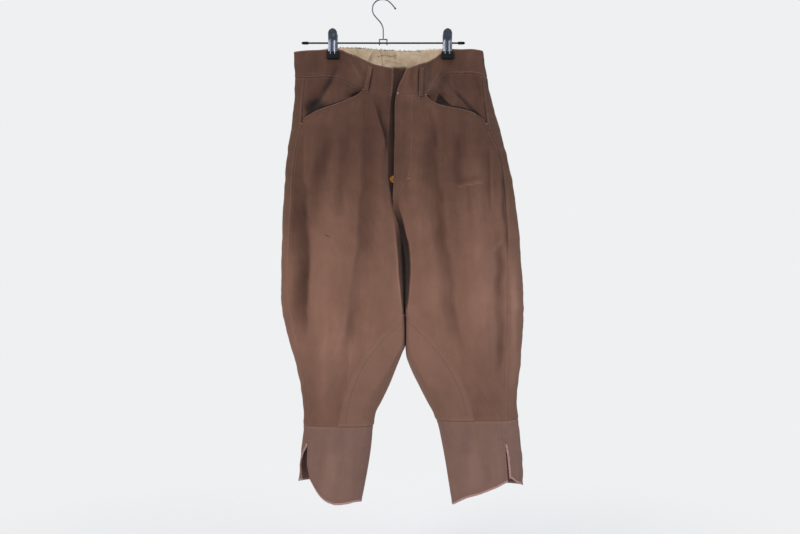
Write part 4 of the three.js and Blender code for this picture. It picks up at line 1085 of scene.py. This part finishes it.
# Each button's place across and up, and how far it stands off the strip.
BUTTONS = (("fly_button_1", 40, -214, 0.7), ("fly_button_2", 38, -268, 0.9),
           ("fly_button_3", 33, -323, 1.3), ("fly_button_4", 21, -378, 0.3))
BUTTON_PROFILE = [(0, 0), (5.8, 0), (6.7, 0.3), (7, 0.9), (6.9, 1.9), (6.4, 2.4), (5.7, 2.35), (5.0, 1.8),
                  (3.6, 1.55), (1.6, 1.6), (0, 1.75)]
for name, x, z, clear in BUTTONS:
    centre = (x, float(stand_y(np.float64(x), np.float64(z))) - clear, z)
    body = lathed(BUTTON_PROFILE, centre, (0, -1, 0), (1, 0, 0), (0, 0, 1), 40)
    build(name + "_brass", *body, brass, "fly_button", [name])

# ---------------------------------------------------------------- belt loops
LOOP_WIDTH = 9
LOOPS = (("belt_loop_front_right", "right", LOOP_X["right"], "front", LOOP_LEAN["right"]),
         ("belt_loop_front_left", "left", LOOP_X["left"], "front", LOOP_LEAN["left"]),
         ("belt_loop_back_right", "right", -48, "back", 0),
         ("belt_loop_back_left", "left", 78, "back", 0))
for name, s, x0, face, lean in LOOPS:
    v, u = np.meshgrid(spaced(30, 50), spaced(8, LOOP_WIDTH) - 0.5, indexing="ij")
    x = x0 + u * LOOP_WIDTH + lean * (0.5 - v)
    top, seam = (band_top[s](x), band_seam[s](x)) if face == "front" else (back_top(x), back_seam(x))
    z = top - 10 + (seam - 4 - (top - 10)) * v
    out = depth(s, face, x, z) + 2.1 + 2.4 * np.sin(np.pi * v) + 0.4 * np.cos(2 * np.pi * u)
    facing = 1 if face == "front" else -1
    wear_and_shade = 0.33 + 0.05 * np.cos(2 * np.pi * u) + 0.05 * uneven(x, z, 5, 9, 51)
    garment[name] = wall(name + "_cotton", np.stack([x, -facing * out, z], -1), facing, 1.3, thigh_cotton,
                         "cloth", [name], wear_and_shade)

# ---------------------------------------------------------------- stitches and tape
# A stitch's half: how far along it and how far out, as shares of its length and radius.
STITCH = np.array([(-0.5, 0.3), (-0.34, 0.9), (0, 1.15), (0.34, 0.9), (0.5, 0.3)])
STITCH_SIDES = 4


def unit(vectors):
    """Vectors divided by their lengths."""
    return vectors / np.linalg.norm(vectors, axis=-1, keepdims=True)


def picked(values, run, where):
    """A line's values at distances along its run."""
    return np.stack([np.interp(where, run, values[:, i]) for i in range(3)], -1)


def stitched(name, runs, material, slot, pitch=3.0, length=2.3, radius=0.36):
    """Stitches along runs of points and normals: a short four-sided capsule of five rings with
    two shut ends is laid along the run's direction at every pitch, half sunk in the cloth."""
    ring = circle(STITCH_SIDES)
    bars = []
    for points, normals in runs:
        run = np.concatenate([[0], np.cumsum(np.linalg.norm(np.diff(points, axis=0), axis=1))])
        count = int(run[-1] / pitch)
        if not count:
            continue
        at = (np.arange(count) + 0.5) * run[-1] / count
        forward = unit(picked(points, run, at + 0.8) - picked(points, run, at - 0.8))
        up = unit(picked(normals, run, at))
        beside = unit(np.cross(forward, up))
        centre, forward, up, beside = (
            vectors[:, None, None] for vectors in (picked(points, run, at), forward, up, beside))
        out = ring[:, :1] * beside + ring[:, 1:] * up
        rings = centre + STITCH[:, None, :1] * length * forward + STITCH[:, None, 1:] * radius * out
        bars.append(rings.reshape(-1, len(STITCH) * STITCH_SIDES, 3))
    bars = np.concatenate(bars)
    faces = np.array(skin(bars[0].reshape(len(STITCH), STITCH_SIDES, 3))[1])
    starts = (np.arange(len(bars)) * bars.shape[1])[:, None, None]
    return build(name, bars, (faces + starts).reshape(-1, 4).tolist(), material, slot)


def line_on(points, facing, rows, columns, lift=0.15):
    """A run along a grid at fractional rows and columns, with its normals, lifted off the cloth."""
    r, c = np.broadcast_arrays(np.asarray(rows, float), np.asarray(columns, float))
    i = np.clip(r.astype(int), 0, points.shape[0] - 2)
    j = np.clip(c.astype(int), 0, points.shape[1] - 2)
    a, b = (r - i)[:, None], (c - j)[:, None]

    def mixed(grid):
        """A grid's values at the run: its four nearest, mixed by the fractions both ways."""
        first = grid[i, j] * (1 - a) + grid[i + 1, j] * a
        second = grid[i, j + 1] * (1 - a) + grid[i + 1, j + 1] * a
        return first * (1 - b) + second * b

    up = mixed(faces_out(points, facing))
    return mixed(points) + up * lift, up


def beside_edge(points, facing, edge, inset, lift=0.15, start=0.0):
    """A run at a distance inside one edge of a grid, from a share of that edge's length on."""
    upright = edge in ("first", "last")
    away = edge_runs(points)[edge]
    lines = away if upright else away.T
    if edge in ("last", "bottom"):
        lines = lines[:, ::-1]
    steps = np.arange(int(start * (len(lines) - 1)), len(lines))
    place = np.array([np.interp(inset, lines[k], np.arange(lines.shape[1])) for k in steps])
    if edge in ("last", "bottom"):
        place = lines.shape[1] - 1 - place
    rows, columns = (steps, place) if upright else (place, steps)
    return line_on(points, facing, rows, columns, lift)


def fly_line():
    """The fly's own stitching: down at its width from the edge, then curving in to its foot."""
    z = np.linspace(-200, -441, 90)
    curved_in = smooth(-z, 330, 445) ** 1.6
    x = section["left_in"](z) + FLY_WIDTH * (1 - curved_in) + 1.0
    return point_at("left", round_at("left", x, z), z) + [0, -0.15, 0], np.tile([0.0, -1.0, 0.0], (len(z), 1))


# Each piece's rows of stitching: the edge, how far inside it, and how far off the cloth.
STITCHED = {
    "front": [("last", 3.5, 0.15), ("bottom", 4.0, 0.15)],
    "back": [("first", 3.5, 0.15), ("last", 3.5, 0.15), ("last", 9.5, 0.15), ("bottom", 4.0, 0.15)],
    "strapping": [("first", 2.2, 1.6), ("first", 14.5, 1.6), ("last", 2.2, 1.6), ("last", 14.5, 1.6),
                  ("bottom", 4.0, 1.6)],
    "waistband": [("bottom", 2.6, 0.15), ("top", 2.6, 0.15), ("first", 3.0, 0.15)],
    "calf_front": [("top", 3.0, 0.15), ("bottom", 4.5, 0.15), ("last", 4.5, 0.15)],
    "calf_back": [("top", 3.0, 0.15), ("bottom", 4.5, 0.15), ("first", 4.5, 0.15)],
}
SLIT_TOP = -923
TAPE_END = {"right": -956, "left": -1010}  # below it the slit's edge turns away
extras = {key: [] for key in garment}


def sew(piece, side, points, facing, thread, slot, more=()):
    """Sews a piece's rows of stitching, and more runs where it has them."""
    runs = [beside_edge(points, facing, edge, inset, lift) for edge, inset, lift in STITCHED[piece]]
    key = f"{piece}_{side}"
    extras[key].append(stitched("stitches_" + key, [*runs, *more], thread, slot))


def bind(face, side, points, facing):
    """Tape folded over a calf piece's hem, and over the back piece's slit edge: a flat bead that
    holds the edge, its outline carried along it."""
    normal = faces_out(points, facing)
    order = slice(None, None, -1) if face == "front" else slice(None)
    edges = [("hem", points[-1, order], (points[-1] - points[-5])[order], normal[-1, order])]
    if face == "back":
        rows = points[:, 0, 2]
        low = (rows < SLIT_TOP) & (rows > TAPE_END[side])
        edges.append(("slit", points[low, 0], points[low, 0] - points[low, 4], normal[low, 0]))
    for label, line, away, up in edges:
        away = unit(away)
        bead = swept(line - up * CLOTH / 2 - away * 1.9, away, up, circle(14) * [2.6, 1.3])
        tape = build(f"binding_{label}_{face}_{side}", *bead, rose_tape, "calf_cloth")
        extras[f"calf_{face}_{side}"].append(tape)


for s in SIDES:
    points = front_grid[s]
    opened = np.nonzero(past_mouth_end(s, points[0, :, 0]))[0]
    start = opened[0] / (points.shape[1] - 1)
    more = [beside_edge(points, -OUT[s], "top", 3.0, 1.4, start)]
    if s == "left":
        more.append(fly_line())
    sew("front", s, points, -OUT[s], brown_thread, "cloth", more)
    sew("back", s, back_grid[s], -OUT[s], brown_thread, "cloth")
    sew("strapping", s, strap_grid[s], OUT[s], seam_thread, "cloth")
    sew("waistband", s, band_grid[s], -OUT[s], brown_thread, "cloth")
    for face in ("front", "back"):
        sew("calf_" + face, s, calf_grid[face, s], -OUT[s], brown_thread, "calf_cloth")
        bind(face, s, calf_grid[face, s], -OUT[s])

# ---------------------------------------------------------------- bar tacks
TACKS = (  # side, across, height, half its width, rows: at the mouths' ends and over the slits
    ("right", -168.5, -262, 2.6, 3), ("left", 213.5, -263, 2.6, 3), ("right", -41, -193, 2.6, 3),
    ("left", 89, -202, 2.6, 3), ("right", -152, -917, 2.6, 3), ("left", 243, -911, 5.5, 2))
TACK_STEP = 0.9


def tack(side, x, z, half, rows, lift):
    """Points and normals of a bar tack: rows run across by half to each side, one under another."""
    made = []
    for row in range(rows):
        across = x + half * np.linspace(-1, 1, 5)
        height = np.full(5, z + (row - (rows - 1) / 2) * TACK_STEP)
        out = depth(side, "front", across, height) + lift
        made.append((np.stack([across, -out, height], -1), np.tile([0.0, -1.0, 0.0], (5, 1))))
    return made


marks = [run for row in TACKS for run in tack(*row, lift=1.4)]
marks += tack("left", 53.5, -377, 3.0, 3, lift=0.6)  # on the fly's own stitching
bar_tacks = stitched("bar_tacks", marks, tack_thread, "cloth", pitch=1.6, length=1.5, radius=0.34)
extras["front_left"].append(bar_tacks)
# one pale tack at the top of the right front loop, and one at the top of the fly's edge
marks = tack("right", -26, -149.5, 1.6, 3, lift=3.4) + tack("left", 30.5, -202, 1.5, 2, lift=0.7)
pale_tacks = stitched("pale_tacks", marks, pale_thread, "cloth", pitch=1.4, length=1.4, radius=0.42)
extras["waistband_left"].append(pale_tacks)

# ---------------------------------------------------------------- frayed ends and cross stitch
FRAYS, LOOP_FRAYS = 110, 9
random = np.random.default_rng(12)


def strands(name, starts, directions, lengths, radius, material, slot):
    """Loose threads: each bends from its start along its direction, with a sideways droop that
    grows as the square of its length, and narrows to its tip."""
    parts = []
    for start, direction, length in zip(starts, directions, lengths):
        t = np.linspace(0, 1, 5)[:, None]
        beside = np.cross(direction, [0, 1, 0])
        droop = beside * random.uniform(-0.35, 0.35)
        path = start + length * (direction * t + droop * t**2)
        parts.append(swept(path, (0, 1, 0), beside + [1e-6, 0, 0], circle(4) * radius, 1 - 0.6 * t[:, 0]))
    return build(name, *many(parts), material, slot)


def lining_run(x, z):
    """A run of thread on the lining's face, from distances across and heights."""
    x, z = np.broadcast_arrays(np.asarray(x, float), np.asarray(z, float))
    behind = depth("right", "back", np.minimum(x, -3.0), z)
    y = behind + LINING_LIFT - LINING_WALL + lining_wrinkle(x, z) - 0.3
    return np.stack([x, y, z], -1), np.tile([0.0, -1.0, 0.0], (len(x), 1))


for label, material in (("pale", lining_cotton), ("dark", seam_thread)):
    x = random.uniform(-92, 118, FRAYS)
    starts = lining_run(x, back_top(x) - 1.5)[0]
    angles = random.normal(0, 0.7, FRAYS)
    directions = np.stack([np.sin(angles), np.full(FRAYS, -0.1), np.cos(angles)], -1)
    lengths = random.uniform(1.5, 4.5, FRAYS)
    frays = strands("lining_fray_" + label, starts, directions, lengths, 0.32, material, "lining")
    extras["lining"].append(frays)

starts, directions = [], []
for s in SIDES:
    for _ in range(LOOP_FRAYS):
        x = LOOP_X[s] - LOOP_LEAN[s] / 2 + random.uniform(-LOOP_WIDTH / 2, LOOP_WIDTH / 2)
        z = float(band_seam[s](x)) - 5
        starts.append([x, -float(depth(s, "front", np.float64(x), np.float64(z))) - 1.8, z])
        angle = random.normal(0, 0.5)
        directions.append([math.sin(angle), -0.1, -math.cos(angle)])
lengths = random.uniform(2, 5, len(starts))
frays = strands("loop_fray", np.array(starts), np.array(directions), lengths, 0.3, brown_thread, "cloth")
extras["waistband_right"].append(frays)

t = np.linspace(0, 1, 24)
cross = [lining_run(-8 + 8.4 * t + 1.2 * np.sin(5 * t), -103 - 33 * t),
         lining_run(-12 + 42 * t, -117 + 2.3 * t + 1.2 * np.sin(6 * t))]
cross_stitch = stitched(
    "lining_cross_stitch", cross, black_thread, "lining", pitch=4.4, length=4.0, radius=0.5)
extras["lining"].append(cross_stitch)


# ---------------------------------------------------------------- hanger rod and tips
ROD_STEPS = 60
rod_end = ROD_HALF - TIP
path = np.linspace([-rod_end, 0, ROD_Z], [rod_end, 0, ROD_Z], ROD_STEPS)
rod = swept(path, (0, 1, 0), (0, 0, 1), circle(32) * ROD_RADIUS)
build("hanger_rod_wire", *rod, coated_wire, "coated_wire", ["hanger_rod"])
TIP_PROFILE = [(0, 0), (2.0, 0), (2.7, 0.5), (3.0, 1.4), (3.05, 6), (3.0, 10), (2.75, 11.8), (2.3, 13.2),
               (1.5, 14.4), (0.8, 14.9), (0, 15)]
for s in SIDES:
    tip = lathed(TIP_PROFILE, (OUT[s] * rod_end, 0, ROD_Z), (OUT[s], 0, 0), (0, 1, 0), (0, 0, 1))
    build(f"hanger_tip_{s}_rubber", *tip, rubber, "rubber", ["hanger_tip_" + s])

# ---------------------------------------------------------------- hanger hook
SADDLE, SADDLE_HALF = 7.6, 7.8  # how far the saddle's bar stands above the rod, and its half width
BALL = 2.3
HOOK = np.array([
    [0, ROD_Z + SADDLE], [0, -72], [-0.3, -60], [-4, -49.5], [-13, -38.5], [-20.5, -29], [-22.6, -19],
    [-20, -8.5], [-12.5, -1.2], [0, WIRE], [10, -1.7], [18.5, -9.5], [25, -17.5]])


def mixed_at(at, start, end, first, last):
    """The straight mix of two points at a time between theirs."""
    return ((end - at) * first + (at - start) * last) / (end - start)


def through(knots, steps):
    """A smooth line through knots: Catmull-Rom pieces with steps points each, on knot spacing by
    the root of distance."""
    ends = np.concatenate([[2 * knots[0] - knots[1]], knots, [2 * knots[-1] - knots[-2]]])
    made = []
    for k in range(1, len(ends) - 2):
        p = ends[k - 1:k + 3]
        t = np.concatenate([[0], np.cumsum(np.linalg.norm(np.diff(p, axis=0), axis=1) ** 0.5)])
        at = np.linspace(t[1], t[2], steps, endpoint=False)[:, None]
        a = [mixed_at(at, t[i], t[i + 1], p[i], p[i + 1]) for i in range(3)]
        b = [mixed_at(at, t[i], t[i + 2], a[i], a[i + 1]) for i in range(2)]
        made.append(mixed_at(at, t[1], t[2], b[0], b[1]))
    return np.concatenate([*made, knots[-1:]])


flat = through(HOOK, 14)
path = np.stack([flat[:, 0], np.zeros(len(flat)), flat[:, 1]], -1)
ahead = unit(np.gradient(path, axis=0))
parts = [swept(path, (0, 1, 0), np.cross(ahead, [0, 1, 0]), circle(20) * WIRE)]
angle = np.linspace(-np.pi / 2, np.pi / 2, 15)
ball = np.stack([np.cos(angle), np.sin(angle)], -1) * BALL
parts.append(lathed(ball, (HOOK[-1][0], 0, HOOK[-1][1]), (0, 0, 1), (1, 0, 0), (0, 1, 0), 24))
bar = np.linspace([-SADDLE_HALF, 0, ROD_Z + SADDLE], [SADDLE_HALF, 0, ROD_Z + SADDLE], 9)
parts.append(swept(bar, (0, 1, 0), (0, 0, 1), circle(20) * WIRE))
# the saddle's two oval eyes, which the rod runs through
eye = ROD_RADIUS + 0.3 + WIRE
around = np.linspace(0, 2 * np.pi, 49)
outwards = np.stack([0 * around, np.cos(around), np.sin(around)], -1)
for end in (-SADDLE_HALF, SADDLE_HALF):
    oval = outwards * [1, eye, (SADDLE + eye) / 2] + [end, 0, ROD_Z + (SADDLE - eye) / 2]
    parts.append(swept(oval, outwards, (1, 0, 0), circle(16) * WIRE))
build("hanger_hook_wire", *many(parts), chrome, "chrome", ["hanger_hook"])

# ---------------------------------------------------------------- clips
PLATE_WIDTH, PLATE_TOP, PLATE_WALL = 19, -63, 1.2
HEAD_Z, RIB_X = PLATE_TOP - 9, 4.8
PLATE_ACROSS = np.sin(np.linspace(-np.pi / 2, np.pi / 2, 29))
PLATE_EDGE = PLATE_WALL / 2 * np.sqrt(np.maximum(1 - PLATE_ACROSS**14, 0.02))
PLATE_LINE = through(np.array([
    [5.9, CLIP_BOTTOM + PAD_HEIGHT - 6], [5.8, -104], [5.7, ROD_Z + 2], [7.4, -81], [14.5, PLATE_TOP]]), 16)
PAD_ROWS = ((0, 1.2), (0.25, 0.6), (0.8, 0.2), (1.6, 0), (4, 0), (8, 0), (12, 0), (14.4, 0), (15.2, 0.2),
            (15.75, 0.6), (16, 1.2))  # height over the pad's bottom, and how far its outline draws in
SLEEVE_PROFILE = [(2.1, -6), (5.0, -6), (5.3, -5.6), (5.3, 5.6), (5.0, 6), (2.1, 6)]


def rounded_box(half_a, half_b, radius, corners=5):
    """A rectangle's outline with quarter-circle corners."""
    angle = np.linspace(0, np.pi / 2, corners)
    turns = []
    for k, (a, b) in enumerate(((1, 1), (-1, 1), (-1, -1), (1, -1))):
        turn = angle + k * np.pi / 2
        corner = [a * (half_a - radius), b * (half_b - radius)]
        turns.append(corner + radius * np.stack([np.cos(turn), np.sin(turn)], -1))
    return np.concatenate(turns)


def plate(side, face):
    """A clip's plate: a profile line carried across its width, crowned, with two ribs down its
    lower part. Its head is a half circle, dished to take a fingertip."""
    y = (PLATE_LINE[:, 0] + (NIP[face] - NIP["front"]) + PLATE_WALL / 2)[:, None]
    z = PLATE_LINE[:, 1][:, None]
    r = PLATE_WIDTH / 2
    half = np.where(z > PLATE_TOP - r, np.sqrt(np.maximum(r**2 - (z - PLATE_TOP + r) ** 2, 0.01)), r)
    x = np.maximum(half, 0.7) * PLATE_ACROSS
    rib = 1.0 * np.clip(1 - ((np.abs(x) - RIB_X) / 2.0) ** 2, 0, 1) * smooth(PLATE_TOP - 20 - z, 0, 6)
    crown = 1.0 * np.clip(1 - (x / 9.4) ** 2, 0, 1)
    dimple = 2.4 * np.clip(1 - np.hypot(x, z - HEAD_Z) / 6.5, 0, 1) ** 0.8
    middle = y + rib + crown + 0.5 * spot(x, z, 0, HEAD_Z, 9, 9) - dimple
    x = np.concatenate([x, x[:, ::-1]], 1)
    y = np.concatenate([middle + PLATE_EDGE, (middle - PLATE_EDGE)[:, ::-1]], 1)
    facing = -1 if face == "front" else 1
    return skin(np.stack([CLIP[side] + x, facing * y, np.broadcast_to(z, x.shape)], -1))


def pad(side, face):
    """A clip's pad: a rounded box whose ends draw in."""
    facing = -1 if face == "front" else 1
    centre = [CLIP[side], facing * (NIP[face] + 0.3 + PAD_THICK / 2)]
    rings = []
    for up, inset in PAD_ROWS:
        corner = 1.2 if inset < 1 else 1.0
        outline = rounded_box(PAD_WIDTH / 2 - inset, PAD_THICK / 2 - inset, corner) + centre
        rings.append(np.concatenate([outline, np.full((len(outline), 1), CLIP_BOTTOM + up)], 1))
    return skin(np.array(rings))


for s in SIDES:
    for face in ("front", "back"):
        name = f"clip_{s}_plate_{face}"
        build(name + "_chrome", *plate(s, face), chrome, "chrome", [name])
        name = f"clip_{s}_pad_{face}"
        build(name + "_rubber", *pad(s, face), rubber, "rubber", [name])
    sleeve = lathed(SLEEVE_PROFILE, (CLIP[s], 0, ROD_Z), (1, 0, 0), (0, 1, 0), (0, 0, 1), 32)
    build(f"clip_{s}_sleeve_chrome", *sleeve, chrome, "chrome", [f"clip_{s}_sleeve"])

# ---------------------------------------------------------------- floor and light
FLOOR_Z, FLOOR_RADIUS, FLOOR_SIDES = -1.30, 2.6, 96
rim = circle(FLOOR_SIDES) * FLOOR_RADIUS
floor_mesh = bpy.data.meshes.new("studio_floor")
floor_mesh.from_pydata([(x, y, FLOOR_Z) for x, y in rim], [], [list(range(FLOOR_SIDES))])
floor = bpy.data.objects.new("studio_floor", floor_mesh)
bpy.context.scene.collection.objects.link(floor)
# matt painted floor, which fades out so that it meets the pale surroundings without an edge
floor_paint, tree, shader = surface(
    "matt_floor_paint", Roughness=0.9, Specular_IOR_Level=0.1, Base_Color=hex_rgb("#e6e7e8"))
at = node(tree, "TexCoord").outputs["Object"]
across = node(tree, "VectorMath", {"operation": "MULTIPLY"}, {0: at, 1: (1, 1, 0)}).outputs["Vector"]
far = node(tree, "VectorMath", {"operation": "LENGTH"}, {0: across}).outputs["Value"]
shown = node(tree, "MapRange", {"interpolation_type": "SMOOTHSTEP"}, {
    "Value": far, "From Min": 0.25, "From Max": 1.5, "To Min": 1.0, "To Max": 0.0}).outputs[0]
tree.links.new(shown, shader.inputs["Alpha"])
floor_mesh.materials.append(floor_paint)

world = bpy.data.worlds.new("studio")
bpy.context.scene.world = world
world.use_nodes = True
tree = world.node_tree
tree.nodes.clear()
seen = node(tree, "Background", inputs={"Color": hex_rgb("#eff0f1"), "Strength": 1.0})
felt = node(tree, "Background", inputs={"Color": hex_rgb("#e9ecf0"), "Strength": 0.42})
which = node(tree, "LightPath").outputs["Is Camera Ray"]
both = node(tree, "MixShader", inputs={0: which, 1: felt.outputs[0], 2: seen.outputs[0]})
tree.links.new(both.outputs[0], node(tree, "OutputWorld").inputs["Surface"])


def soft_light(name, place, aim, size, watts, colour):
    """A square soft box at a place, turned to its aim."""
    light = bpy.data.lights.new(name, "AREA")
    light.size, light.energy, light.color = size, watts, hex_rgb(colour)[:3]
    lamp = bpy.data.objects.new(name, light)
    lamp.location = place
    lamp.rotation_euler = (Vector(aim) - Vector(place)).to_track_quat("-Z", "Y").to_euler()
    bpy.context.scene.collection.objects.link(lamp)


soft_light("key", (-1.5, -2.1, 0.55), (0.03, 0, -0.6), 1.1, 46, "#fff7f0")
soft_light("fill", (1.9, -1.5, -0.1), (0.03, 0, -0.6), 1.0, 20, "#f6f8ff")
soft_light("top", (0.1, -0.5, 1.3), (0.03, 0, -0.5), 1.2, 16, "#ffffff")
soft_light("behind", (0.2, 2.2, 0.7), (0.03, 0, -0.6), 1.6, 36, "#fbfaff")
